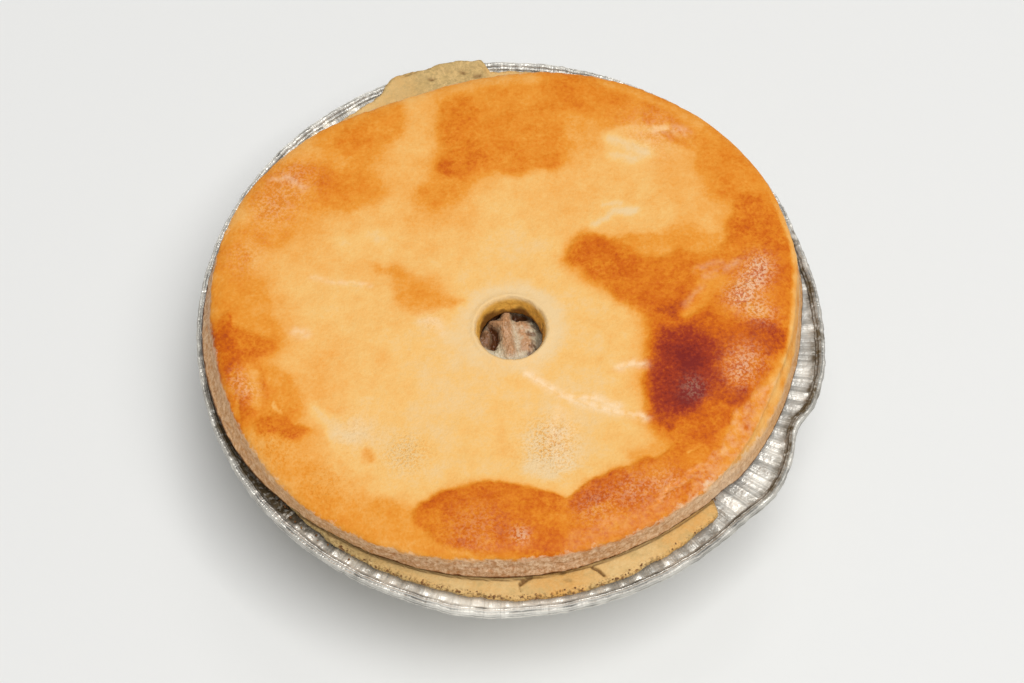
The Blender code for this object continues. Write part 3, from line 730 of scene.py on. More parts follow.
def blend(cover, under, over):
    """Mixes one colour over another by a wire."""
    return put(cover.tree, "ShaderNodeMix", {"Factor": cover, 6: under, 7: over}, 2, data_type="RGBA")


def layered(colour, *layers):
    """Colours laid one over the other. Each layer is a wire that says how much it covers, and its colour."""
    for cover, over in layers:
        colour = blend(cover, colour, over)
    return colour


def colour_ramp(value, stops):
    """A colour ramp through (position, colour) stops."""
    ramp = put(value.tree, "ShaderNodeValToRGB", {"Fac": value})
    elements = ramp.socket.node.color_ramp.elements
    while len(elements) < len(stops):
        elements.new(0.5)
    for element, (position, colour) in zip(elements, stops):
        element.position = position
        element.color = (*colour[:3], 1.0)
    return ramp


def rise(value, low, high):
    """0 below low, 1 above high and straight between."""
    inputs = {"Value": value, "From Min": low, "From Max": high}
    return put(value.tree, "ShaderNodeMapRange", inputs, clamp=True)


def mask(tree, name):
    """One of the piece's attributes."""
    return put(tree, "ShaderNodeAttribute", output="Fac", attribute_name=name)


def noise(vector, size, detail=3.0, roughness=0.55):
    """Noise with features of this size in millimetres, from 0 to 1, on coordinates in metres."""
    inputs = {"Vector": vector, "Scale": 1.0 / (size * MM), "Detail": detail, "Roughness": roughness}
    return put(vector.tree, "ShaderNodeTexNoise", inputs, "Fac")


def stretched(vector, scale):
    """The coordinates scaled along each axis, which draws a noise out where the scale is small."""
    return put(vector.tree, "ShaderNodeMapping", {"Vector": vector, "Scale": scale})


def new_group(name, inputs, outputs):
    """An empty node group with a vector, some floats as inputs and floats as outputs. Returns the group,
    its inputs as wires and a function that feeds its outputs."""
    group = bpy.data.node_groups.new(name, "ShaderNodeTree")
    group.interface.new_socket("Vector", in_out="INPUT", socket_type="NodeSocketVector")
    for socket, value in inputs.items():
        made = group.interface.new_socket(socket, in_out="INPUT", socket_type="NodeSocketFloat")
        made.default_value = value
    for socket in outputs:
        group.interface.new_socket(socket, in_out="OUTPUT", socket_type="NodeSocketFloat")
    taken = {socket.name: Wire(socket) for socket in group.nodes.new("NodeGroupInput").outputs if socket.name}
    return group, taken, group.nodes.new("NodeGroupOutput")


def mottle_group():
    """Unevenness of baked pastry: soft blotches some millimetres wide and fine speckles under a millimetre,
    each from -1 to 1, and thin curled wrinkles, where a noise crosses its middle value, from 0 to 1."""
    found = bpy.data.node_groups.get("pastry_mottle")
    if found:
        return found
    group, taken, given = new_group("pastry_mottle", {}, ("Blotch", "Speckle", "Curls"))
    vector = taken["Vector"]
    from_middle = abs(noise(vector, 2.4, 2.0, 0.6) - 0.5)
    outputs = {
        "Blotch": noise(vector, 5.0, 4.0, 0.68) * 2.0 - 1.0,
        "Speckle": noise(vector, 0.7, 2.0, 0.7) * 2.0 - 1.0,
        "Curls": rise(from_middle, 0.09, 0.0) * rise(noise(vector, 6.0, 1.0, 0.5), 0.42, 0.58),
    }
    feed(group, given, outputs)
    return group


def grain_group():
    """Relief of baked pastry: fine pits between close-set crumbs, over soft unevenness."""
    found = bpy.data.node_groups.get("pastry_grain")
    if found:
        return found
    group, taken, given = new_group("pastry_grain", {"Pits": 0.5}, ("Height",))
    vector = taken["Vector"]
    cells = put(group, "ShaderNodeTexVoronoi", {"Vector": vector, "Scale": 1.0 / (0.55 * MM)}, "Distance")
    height = noise(vector, 0.35, 2.0, 0.6) * 0.5 - cells * taken["Pits"] + noise(vector, 1.6, 2.0) * 0.8
    feed(group, given, {"Height": height})
    return group


def use_group(vector, group, **inputs):
    """Places a node group in a material with its own values, and returns its outputs by name."""
    node = vector.tree.nodes.new("ShaderNodeGroup")
    node.node_tree = group
    feed(vector.tree, node, {"Vector": vector, **inputs})
    return {socket.name: Wire(socket) for socket in node.outputs}


def new_material(name):
    """A material with only a Principled shader and its output. Returns it, its tree and its object's
    coordinates in metres."""
    material = bpy.data.materials.new(name)
    material.use_nodes = True
    return material, material.node_tree, put(material.node_tree, "ShaderNodeTexCoord", output="Object")


def finish(material, inputs, height=None, distance=0.0):
    """Feeds the material's Principled shader, and its normal with a height in shares of a distance in mm."""
    tree = material.node_tree
    if height:
        inputs["Normal"] = put(tree, "ShaderNodeBump", {"Height": height, "Distance": distance * MM})
    feed(tree, tree.nodes["Principled BSDF"], inputs)
    return material


# ---------------------------------------------------------------- foil tin


BEAD_START, BEAD_END = 140.0, -150.0  # the rolled edge's curl, in degrees from outwards towards up
BEAD_ROWS = 40
BEAD_FOLDS = (  # (angle, half width, depth) of the folds round the rolled edge
    (121, 12, 1.0),
    (94, 7, 0.5),
    (64, 9, 1.0),
    (34, 8, 0.6),
    (4, 13, 1.0),
)
BEAD_FOLD_SHARE = 0.18  # depth of a full fold, in bead radii
TIN_INNER_RING = 2.0

# stretches of the rim where the foil looks different, each (angle, half width): a painted highlight at the
# front, painted shade on the bead and the foil at the right and on the bead at the left, grease stains and
# streaks at the right, and painted shade with baked-on grease in the gap under the lid at the front left
HIGHLIGHT_FRONT = (-93.0, 18.0)
MATT_RIGHT = (6.0, 30.0)
DARK_FLANK = (-22.0, 40.0)
SHADED_BEAD_LEFT = (178.0, 50.0)
FILMED, STAINED, STREAKED = (-8.0, 34.0), (6.0, 34.0), (-20.0, 40.0)
GAP_SHOWN, GAP_WIDEST = (-147.0, 22.0), (-136.0, 10.0)
LEVEL_LEFT, LEVEL_RIGHT = (180.0, 60.0), (6.0, 26.0)
NOISE_RADIUS = 60.0  # a noise that only follows the angle is read on a circle of this radius


def pleat_wave(angle, pleats):
    """In and out from -1 to 1 across each pleat, times that pleat's own depth: straight lines between
    creases that stand at the same angles as the solid's."""
    depths = np.random.default_rng(SEED).uniform(PLEAT_LEAST, PLEAT_MOST, pleats)
    crease = (angle % 360.0) / (180.0 / pleats)
    before = np.floor(crease).astype(int)
    share = crease - before
    creases = np.arange(2 * pleats)
    signs = np.where(creases % 2, 1.0, -1.0) * depths[creases // 2]
    return signs[before % (2 * pleats)] * (1.0 - share) + signs[(before + 1) % (2 * pleats)] * share


def tin_profile(tin):
    """Radius and height from the middle of the base, up the inside, over the flange and the rolled bead,
    and back down the outside to the middle of the base. Also per row: whether it is on the bead, its angle
    round the bead and how deep it is in a fold of it."""
    foil, bead = tin.foil / MM, tin.bead_radius / MM
    outer = tin.rim_radius / MM - 2 * bead - HAIR
    upper = [
        (TIN_INNER_RING, foil),
        (FOOT_RADIUS, foil),
        (FOOT_RADIUS + FOOT_CORNER, foil + FOOT_CORNER),
        (WALL_TOP_RADIUS, WALL_TOP_Z),
        (FLANGE_INNER_RADIUS, FLANGE_INNER_Z),
        (outer, FLANGE_OUTER_Z),
        (outer + HAIR, FLANGE_OUTER_Z + HAIR),
    ]
    under = [
        (outer, FLANGE_OUTER_Z - foil),
        (FLANGE_INNER_RADIUS + foil / 2, FLANGE_INNER_Z - foil),
        (FOOT_RADIUS + FOOT_CORNER + foil, FOOT_CORNER),
        (FOOT_RADIUS, 0.0),
        (TIN_INNER_RING, 0.0),
        (0.0, 0.0),
    ]
    upper_radius, upper_z = legs(upper, (4, 2, 8, 2, 16, 1))
    under_radius, under_z = legs(under, (3, 8, 2, 3, 1))
    turn = np.linspace(BEAD_START, BEAD_END, BEAD_ROWS)
    groove = sum(depth * bell(turn - middle, half_width) for middle, half_width, depth in BEAD_FOLDS)
    roll_out, roll_up = polar(bead * (1.0 - BEAD_FOLD_SHARE * groove), turn)
    before, after = 0 * upper_radius, 0 * under_radius
    on_bead, turned, groove = (
        np.concatenate([before, rows, after])[:, None] for rows in (np.ones(BEAD_ROWS), turn, groove)
    )
    radius = np.concatenate([upper_radius, tin.rim_radius / MM - bead + roll_out, under_radius])
    height = np.concatenate([upper_z, tin.height / MM - bead + roll_up, under_z])
    return radius, height, on_bead > 0.0, turned, groove


def tin_surface(tin):
    """The tin's points and masks: the profile turned round +Z, pushed in and out by the pleats on the wall,
    up and down by them on the flange, knocked in and out at the rim, and dented and ribbed by noise."""
    profile_radius, profile_z, on_bead, turned, groove = tin_profile(tin)
    radius, height, angle = round_grid(profile_radius, profile_z, 8 * tin.pleats)
    outer = tin.rim_radius / MM - 2 * tin.bead_radius / MM - HAIR
    fold = tin.pleat_depth / MM * pleat_wave(angle, tin.pleats)
    on_wall = smoothstep(FOOT_CORNER, WALL_TOP_Z, height) * (radius < FLANGE_INNER_RADIUS - HAIR)
    on_flange = smoothstep(WALL_TOP_RADIUS, FLANGE_INNER_RADIUS, radius) * ~on_bead
    flange = on_flange * (1.0 - smoothstep(outer - 0.9, outer + 0.3, radius))
    x, y = polar(radius, angle)
    crinkle = tin.crinkle / MM
    dents = crinkle * (cloud(x, y, height, 4.0, 31) + 0.8 * cloud(x, y, height, 1.6, 37, 2))
    nicks = crinkle * cloud(x, y, height, 1.0, 41, 2)
    ribs = crinkle * cloud(*polar(NOISE_RADIUS, angle), 0.35 * height, 1.1, 53, 2)
    knocked = (rim_radius(angle) - tin.rim_radius / MM) * smoothstep(WALL_TOP_RADIUS, outer, radius)
    loose = smoothstep(FOOT_CORNER + 1.0, 10.0, height)
    bead_in = 0.12 * abs(fold) + 2.1 * crinkle - nicks - ribs
    moved = radius + knocked - fold * on_wall + dents * loose * (1.0 - flange) - bead_in * on_bead
    flange_up = 0.8 * fold + (0.4 * dents + 1.8 * ribs) * loose
    lifted = height + flange_up * flange + (0.6 * (nicks + ribs) - crinkle) * on_bead
    right, front = bump_at(angle, *DARK_FLANK), bump_at(angle, *HIGHLIGHT_FRONT)
    # painted shade on the rolled bead: in its folds, and more at the left and the right
    rolled = (0.1 + 0.2 * right + 0.14 * bump_at(angle, *SHADED_BEAD_LEFT) + 0.95 * groove) * on_bead
    slope = np.clip((radius - FLANGE_INNER_RADIUS) / (outer - FLANGE_INNER_RADIUS), 0, 1)
    levelled = (1.0 - 0.6 * bump_at(angle, *LEVEL_LEFT)) * (1.0 - 0.9 * bump_at(angle, *LEVEL_RIGHT))
    masks = {
        "grease": tin_grease_and_shade(x, y, height, angle, moved, on_bead, smoothstep(66.0, 84.0, turned) * right),
        "rolled": rolled * (0.6 + cloud(x, y, height, 2.0, 51)),
        "flange": on_flange + 0.8 * on_bead * smoothstep(76.0, 88.0, turned) * (1.0 - right),
        "slope": slope * levelled,
        # painted highlight along the front of the rim
        "bright": front,
        # matt: less metallic, and its colour darkened as painted shade at the right and the front
        "matt": np.clip(front + bump_at(angle, *MATT_RIGHT), 0, 1),
    }
    return *polar(moved, angle), lifted, masks


def tin_grease_and_shade(x, y, height, angle, moved, on_bead, bead_flank):
    """How brown or dark the foil is, from 0 to 1: a film in the groove beside the bead and stains at the
    right, painted shade with baked-on fat in the gap under the lid at the front left, and the bead's inner
    flank and streaks beside it at the front right."""
    from_bead = moved - inside_bead(angle, 0.0)
    above = height > WALL_TOP_Z
    film = 0.5 * bell(from_bead, 0.6) * smoothstep(-0.3, 0.5, cloud(x, y, height, 5.0, 43))
    film = film * bump_at(angle, *FILMED)
    stains = 0.8 * smoothstep(0.0, 0.4, cloud(x, y, height, 2.2, 47)) * bump_at(angle, *STAINED)
    stains = stains * smoothstep(-1.0, 0.0, from_bead)
    from_lid = moved - around(LID_LOWER_EDGE, angle) + 0.4 * cloud(x, y, height, 1.5, 59)
    # painted shade, with baked-on grease, in the gap under the lid at the front left
    gap = 1.0 - smoothstep(0.1, 1.1, from_lid - 0.8 * bump_at(angle, *GAP_WIDEST))
    gap = gap * np.clip(1.3 * bump_at(angle, *GAP_SHOWN), 0, 1) * above
    flank = bead_flank * on_bead * (0.62 + 0.38 * smoothstep(-0.1, 0.5, cloud(x, y, height, 1.6, 61, 2)))
    streaks = 0.75 * smoothstep(-0.5, 0.2, cloud(x, y, height, 2.0, 67, 2)) * bump_at(angle, *STREAKED)
    streaks = streaks * bell(from_bead + 0.45, 0.9) * ~on_bead * above
    return np.clip(film + stains + gap + flank + streaks, 0, 1)


def foil_material(tin):
    """Bright foil: a metal whose gloss and fine wrinkles vary, with brown stains where fat has baked on. Its
    colour also carries painted light: painted streaks of reflection on a darker flange, a painted highlight
    at the front, and painted shade at the right, in the bead's folds and in the gap under the lid. Its
    streaks run across the flange, because their noise is read by the direction from the pie's middle alone."""
    material, tree, vector = new_material("pressed_foil")
    flat = put(tree, "ShaderNodeVectorMath", {0: vector, 1: (1.0, 1.0, 0.0)}, operation="MULTIPLY")
    direction = put(tree, "ShaderNodeVectorMath", {0: flat}, operation="NORMALIZE")
    flange, matt = mask(tree, "flange"), mask(tree, "matt")
    wear = noise(vector, 3.0, 4.0)
    reflection_streaks = rise(noise(direction, 2.4 / tin.rim_radius, 3.0, 0.6), 0.46, 0.6)
    metal = layered(
        blend(rise(wear, 0.3, 0.75), tin.metal, scaled(tin.metal, 0.8)),
        # painted reflection: the flange darker, with painted bright streaks across it
        (flange, scaled(tin.metal, 0.6)),
        (reflection_streaks * flange, scaled(tin.metal, 1.12)),
        # painted shade: the foil darker at the right and the front
        (matt * 0.35, scaled(tin.metal, 0.6)),
        # painted highlight: the foil brighter along the front of the rim
        (mask(tree, "bright") * 0.95, scaled(tin.metal, 1.2)),
        # painted shade in the bead's folds
        (mask(tree, "rolled") * 0.9, scaled(tin.metal, 0.16)),
    )
    greasy_and_shaded = mask(tree, "grease") * rise(noise(vector, 0.9, 3.0), 0.2, 0.5)
    streaks = noise(direction, 1.3 / tin.rim_radius, 3.0, 0.6) + noise(vector, 0.9, 2.0) * 0.35
    inputs = {
        "Base Color": blend(greasy_and_shaded, metal, tin.grease),
        "Metallic": 0.62 - flange * 0.14 - matt * 0.4,
        "Roughness": wear * 0.2 + greasy_and_shaded * 0.2 + 0.24,
    }
    return finish(material, inputs, streaks - mask(tree, "slope") * 2.2, 0.5)


class PIE_OT_make_tin(Operator):
    """Build the pleated foil tin with its flange and rolled rim"""

    bl_idname = "pie.make_tin"
    bl_label = "Foil Tin"

    def execute(self, context):
        tin = context.scene.pie_tin
        poles = [[(0.0, 0.0, tin.foil / MM)], [(0.0, 0.0, 0.0)]]
        piece = closed_piece("pressed_foil_tin", *tin_surface(tin), poles)
        piece.data.set_sharp_from_angle(angle=np.radians(35.0))
        place_piece(piece, foil_material(tin), "foil_tin")
        return {"FINISHED"}


# ---------------------------------------------------------------- pastry case


CASE_COLUMNS = 960
CASE_CROWDING = 25.0  # degrees by which the columns lean to the front, where the ledge shows
CASE_INNER_RING = 4.0
SPECKED_FRONT = (-93.0, 28.0)  # (angle, half width) of stretches of the ledge
# painted shade on the ledge at the left, and a painted highlight where the flap is paler at its left end
SHADED_LEFT, PALE_FLAP_HIGHLIGHT = (-130.0, 22.0), (111.0, 3.0)
LEDGE_RAGGED, LEDGE_RAGGED_SIZE = 0.45, 3.2
CASE_BAKED = (  # (angle, half width, how much more golden): stretches of the ledge baked more or less
    (-80, 9, 0.5), (-52, 10, 0.4), (-72, 8, -0.2),
)
# the cracks are also painted dark as shade
LEDGE_CRACKS = (  # (points, half width, depth) of cracks in the ledge
    (((2.8, -55.6), (2.3, -55.8), (1.5, -56.4), (1, -56.75)), 0.34, 0.9),
    (((1, -56.75), (0.7, -57.6), (0.9, -58.4)), 0.13, 0.35),
    (((14.15, -53.8), (15.2, -54.4), (16.5, -55.5)), 0.22, 0.8),
    (((9.2, -56.2), (10, -56.4)), 0.3, 0.2),
    (((-22, -54.4), (-23, -55.8)), 0.2, 0.3),
    (((8.4, -54.8), (8.9, -54.7)), 0.35, 0.5),
    (((-15.2, 56.8), (-14.6, 56.8)), 0.3, 0.5),
    (((-8.5, 58.4), (-8.1, 58.5)), 0.35, 0.6),
    (((-6, 57.3), (-4.8, 57.6)), 0.35, 0.5),
    (((-20.4, 57.2), (-18, 58.6)), 0.16, 0.3),
)


def case_profile(case):
    """Radius and height from the middle of the cavity's floor, up its wall, out along the top to the
    ledge's edge, back under the ledge and down the outer wall to the middle of the base."""
    pastry, ledge = case.pastry / MM, case.ledge / MM
    neck_radius = wall_radius(WALL_TOP_Z)
    neck_z = FLANGE_INNER_Z + bpy.context.scene.pie_tin.pleat_depth / MM + GAP
    foot_z = CASE_FLOOR_Z + CASE_FOOT_ROUNDING
    cavity_z = CASE_FLOOR_Z + pastry
    corner_z = cavity_z + CAVITY_CORNER_UP
    top = [
        (CASE_INNER_RING, cavity_z),
        (wall_radius(cavity_z) - pastry - CAVITY_CORNER_IN, cavity_z),
        (wall_radius(corner_z) - pastry, corner_z),
        (neck_radius - pastry, CASE_TOP_Z - CASE_LIP_DROP),
        (SAG_START, CASE_TOP_Z),
        (SAG_MIDDLE, CASE_TOP_Z),
        (LEDGE_RADIUS - LEDGE_ROUNDING, CASE_TOP_Z),
    ]
    under = [
        (LEDGE_RADIUS, CASE_TOP_Z - LEDGE_ROUNDING),
        (LEDGE_RADIUS - LEDGE_UNDERCUT, CASE_TOP_Z - ledge),
        (neck_radius + NECK_OUT, neck_z - NECK_DROP),
        (wall_radius(WALL_TOP_Z - 1.0), WALL_TOP_Z - 1.0),
        (wall_radius(foot_z), foot_z),
        (wall_radius(foot_z) - CASE_FOOT_ROUNDING, CASE_FLOOR_Z),
        (CASE_INNER_RING, CASE_FLOOR_Z),
        (0.0, CASE_FLOOR_Z),
    ]
    top_radius, top_z = legs(top, (4, 2, 6, 4, 3, 26))
    under_radius, under_z = legs(under, (5, 6, 2, 8, 2, 4, 1))
    edge_out, edge_up = polar(LEDGE_ROUNDING, line(90.0, 0.0, 8))
    return (
        np.concatenate([top_radius, LEDGE_RADIUS - LEDGE_ROUNDING + edge_out, under_radius]),
        np.concatenate([top_z, CASE_TOP_Z - LEDGE_ROUNDING + edge_up, under_z]),
    )


def case_surface(case):
    """The case's points and masks: the profile turned round +Z, stretched to the ledge's outline, sunk
    where the ledge is torn away and lifted where it laps over the rim, with crumbly relief and cracks where
    it shows."""
    radius, height, angle = round_grid(*case_profile(case), CASE_COLUMNS)
    angle = angle - polar(CASE_CROWDING, angle)[0]
    there, flap = ledge_there(angle), flap_there(angle)
    ledge_start, under_z = LEDGE_RADIUS - LEDGE_ROUNDING, CASE_TOP_Z - case.ledge / MM
    out = smoothstep(wall_radius(WALL_TOP_Z) + NECK_OUT + HAIR, ledge_start, radius)
    ragged = LEDGE_RAGGED * cloud(*polar(NOISE_RADIUS, angle), 0 * angle, LEDGE_RAGGED_SIZE, 61)
    edge = ledge_radius(angle) + np.minimum(ragged * there, 0.3) - 0.15 * there
    moved = radius + (edge - LEDGE_RADIUS) * out
    on_top = smoothstep(under_z, CASE_TOP_Z - LEDGE_ROUNDING, height)
    outer = smoothstep(LEDGE_RADIUS - 2.4, ledge_start, radius) * (height > under_z - HAIR)
    flap_under = bpy.context.scene.pie_tin.height / MM + 2.4 * GAP - under_z
    lift = flap * (FLAP_LIFT * on_top + flap_under * (1.0 - on_top)) * outer
    tuck = NO_LEDGE_TUCK * (1.0 - there) * outer * (1.0 - on_top)
    height = height - sag(moved, 1.0 - there) * on_top + lift - tuck
    x, y = polar(moved, angle)
    from_lid, from_edge = moved - around(LID_LOWER_EDGE, angle), moved - edge
    rough = case.crumb / MM * (1.2 * cloud(x, y, height, 3.0, 63) + 0.6 * cloud(x, y, height, 0.9, 67, 2))
    flap_folds = flap * (0.35 * cloud(x, y, height, 3.0, 71) + 0.14 * cloud(x, y, height, 1.0, 75) - 0.3)
    crack_x = x + 0.4 * mottle(x, y, 1.2, 75)
    cracks = sum(depth * stroke(crack_x, y, points, half_width) for points, half_width, depth in LEDGE_CRACKS)
    crumbled = smoothstep(-1.1, -0.2, from_edge) * cloud(x, y, height, 1.1, 79, 2)
    shown = on_top * smoothstep(-1.5, 0.5, from_lid)
    height = height + (rough + flap_folds - cracks + 0.22 * crumbled) * shown
    moved = moved + (1.5 * rough + 0.2 * np.minimum(crumbled, 0)) * outer * on_top
    baked = 0.3 + 0.3 * cloud(x, y, height, 5.0, 73) + 0.25 * smoothstep(-1.2, 0.2, from_edge) + 0.25 * flap
    for centre, half_width, more in CASE_BAKED:
        baked = baked + more * bump_at(angle, centre, half_width)
    masks = {
        "baked": baked,
        "specks": smoothstep(-1.3, -0.2, from_edge) * on_top * (0.5 + 0.5 * bump_at(angle, *SPECKED_FRONT)),
        # painted shade in the cracks and in a thin line along the lid's foot
        "cracks": np.clip(2.0 * cracks + 1.1 * bell(from_lid - 0.02, 0.15) * on_top, 0, 1),
        # olive: olive dough on the flap, painted paler at its left end as a highlight, and painted shade on
        # the ledge at the left
        "olive": flap * (1.0 - 0.6 * bump_at(angle, *PALE_FLAP_HIGHLIGHT)) + 1.15 * bump_at(angle, *SHADED_LEFT),
    }
    return *polar(moved, angle), height, masks


def case_material(case):
    """Crumbly pastry: pale to golden, mottled, with dark baked specks along its edge, olive dough on the
    flap, painted shade in its cracks, along the lid's foot and on the ledge at the left, and a painted
    highlight on the flap.
    """
    material, tree, vector = new_material("case_pastry")
    mottled = use_group(vector, mottle_group())
    level = (mask(tree, "baked") + mottled["Blotch"] * 0.5 + mottled["Speckle"] * 0.35).clamped()
    greasy_and_shaded = blend(rise(noise(vector, 1.8, 4.0, 0.65), 0.35, 0.65), case.olive, case.pale)
    greasy_and_shaded = blend(rise(mottled["Speckle"], -0.3, 0.3), scaled(case.olive, 0.72), greasy_and_shaded)
    colour = layered(
        blend(level, case.pale, case.golden),
        (rise(noise(vector, 2.6, 3.0, 0.6), 0.5, 0.68) * 0.6, case.olive),
        (mask(tree, "olive") * 0.8, greasy_and_shaded),
        (rise(noise(vector, 0.5, 3.0, 0.6), 0.5, 0.58) * mask(tree, "specks") * 0.8, case.speck),
        # painted shade: the cracks and the line along the lid's foot
        (mask(tree, "cracks") * 0.85, case.speck),
    )
    inputs = {"Base Color": colour, "Roughness": 0.55, "Specular IOR Level": 0.2}
    return finish(material, inputs, use_group(vector, grain_group(), Pits=0.3)["Height"], 0.22)


class PIE_OT_make_case(Operator):
    """Build the pastry case with its uneven ledge and the flap over the rim"""

    bl_idname = "pie.make_case"
    bl_label = "Pastry Case"

    def execute(self, context):
        case = context.scene.pie_case
        poles = [[(0.0, 0.0, CASE_FLOOR_Z + case.pastry / MM)], [(0.0, 0.0, CASE_FLOOR_Z)]]
        piece = closed_piece("baked_case", *case_surface(case), poles)
        place_piece(piece, case_material(case), "pastry_case")
        return {"FINISHED"}


# ---------------------------------------------------------------- crumbs


CRUMB_PLACES = (  # (first angle, last angle, radius or None for the ledge's edge, height, how many)
    (-124.0, -66.0, None, CASE_TOP_Z - 0.15, 90),
    (-66.0, -40.0, None, CASE_TOP_Z - 0.2, 14),
    (-164.0, -137.0, 57.6, 29.0, 46),
    (-137.0, -116.0, 58.8, 29.2, 8),
)
CRUMB_SPREAD = 0.5  # how far a crumb lies from its line at most
CRUMB_ROWS, CRUMB_COLUMNS = 4, 9


def crumb_balls(radius, centres, seed):
    """Small uneven balls as rows by columns of points: for each crumb a globe without its poles, pushed in
    and out by noise that differs from crumb to crumb, and a little flattened."""
    ring, z = polar(1.0, np.linspace(90.0, -90.0, CRUMB_ROWS + 2)[1:-1][None, :, None])
    x, y = polar(ring, line(-180.0, 180.0, CRUMB_COLUMNS)[None, None, :])
    z = z + 0 * x
    apart = 40.0 * np.arange(len(radius))[:, None, None]
    scale = radius[:, None, None] * (1.0 + 0.8 * cloud(x + apart, y, z, 0.9, seed, 2))
    return [centre[:, None, None] + scale * axis for centre, axis in zip(centres, (x, y, 0.75 * z))]


def scattered_crumbs(case):
    """All crumbs: places drawn at random along each stretch, and a ball at each."""
    random = np.random.default_rng(SEED + 7)
    spots = []
    for first, last, radius, height, count in CRUMB_PLACES:
        angle = random.uniform(first, last, count)
        out = ledge_radius(angle) - CRUMB_SPREAD if radius is None else np.full(count, radius)
        out = out + random.uniform(-CRUMB_SPREAD, CRUMB_SPREAD, count)
        size = case.crumb_size / MM * random.uniform(0.45, 1.0, count)
        spots.append(np.stack([*polar(out, angle), height + 0.4 * size, size]))
    *centres, size = np.concatenate(spots, axis=1)
    return crumb_balls(size, centres, 83)


def crumb_material(case):
    """Dark baked crumbs, some of them golden."""
    material, _, vector = new_material("baked_crumbs")
    colour = blend(rise(noise(vector, 1.5, 2.0), 0.5, 0.8), scaled(case.speck, 1.2), case.golden)
    return finish(material, {"Base Color": colour, "Roughness": 0.6})


class PIE_OT_make_crumbs(Operator):
    """Scatter the crumbs along the ledge and in the gap beside it"""

    bl_idname = "pie.make_crumbs"
    bl_label = "Crumbs"

    def execute(self, context):
        case = context.scene.pie_case
        crumbs = scattered_crumbs(case)
        poles = [np.stack([axis[:, row].mean(axis=1) for axis in crumbs], axis=1) for row in (0, -1)]
        piece = closed_piece("pastry_crumbs", *crumbs, {}, poles)
        place_piece(piece, crumb_material(case), None)
        return {"FINISHED"}


# ---------------------------------------------------------------- filling


FILLING_COLUMNS = 256
FINE_REACH = 9.0  # rings are close-set and centred on the vent up to this radius,
CENTRED_REACH = 30.0  # and centred on the pie from this one on
CHICKEN_STRANDS = (  # (points, half width, height): strips and lumps of meat seen through the vent
    (((-1, -1.2), (-0.7, -4.4), (-0.4, -7), (0, -9.2)), 1.25, 1),
    (((-0.8, -3.8), (-2.2, -3.4), (-3.8, -2.8)), 0.8, 0.8),
    (((2.2, -3.4), (3, -5.6), (3, -8.6)), 1.4, 0.3),
    (((-5, -5), (-4.9, -7)), 1.1, -0.4),
)
STRANDS_SINK = 0.5  # how far the filling lies lower between the strands


def cavity_floor(case):
    """The height of the filling's underside."""
    return CASE_FLOOR_Z + case.pastry / MM + GAP


def filling_rings(case):
    """Radius and height per row, from the middle of the top out to the shoulder, down the cavity and in
    under it, and whether the row is on top."""
    clear, floor_z = case.pastry / MM + FILLING_GAP, cavity_floor(case)
    corner_z = floor_z + CAVITY_CORNER_UP
    reach = np.concatenate([np.linspace(0.12, FINE_REACH, 64), np.linspace(FINE_REACH + 1.0, 40.5, 14)])
    rest = [
        (LID_THICK_RADIUS - GAP, FILLING_EDGE_Z),
        (wall_radius(WALL_TOP_Z) - clear - FILLING_SHOULDER_IN, FILLING_EDGE_Z - FILLING_SHOULDER_DOWN),
        (wall_radius(corner_z) - clear, corner_z),
        (wall_radius(floor_z) - clear - CAVITY_CORNER_IN - HAIR, floor_z),
        (CASE_INNER_RING, floor_z),
        (0.0, floor_z),
    ]
    side_radius, side_z = legs(rest, (2, 8, 2, 5, 1))
    radius = np.concatenate([reach, side_radius])
    height = np.concatenate([np.full(len(reach), FILLING_TOP_Z), side_z])
    return radius, height, (np.arange(len(radius)) < len(reach))[:, None]


def filling_masks(x, y, near, meat, sunk):
    """Where the meat shows under the sauce, and where painted shade darkens the filling: in the hollows, in
    gaps at the right and at the left."""
    # painted shade in the gaps at the right and at the left, and below in the hollows
    gaps = 0.7 * smoothstep(-0.1, 0.4, mottle(x, y, 0.9, 97, 2)) * smoothstep(2.6, 3.6, x) * near
    shaded = 0.75 * near * (1.0 - smoothstep(-3.4, -2.6, x)) * smoothstep(-8.8, -7.8, y)
    shaded = shaded * (1.0 - 0.8 * meat * smoothstep(-5.0, -4.2, y))
    sauced = 0.6 * smoothstep(1.0, 2.2, x) * smoothstep(-0.2, 0.3, mottle(x, y, 0.8, 99, 2))
    return {
        "meat": np.clip(1.3 * meat * (1.0 - sauced) * near, 0, 1),
        "hollow": np.maximum(smoothstep(0.3, 1.7, sunk), np.maximum(gaps, shaded)),
    }


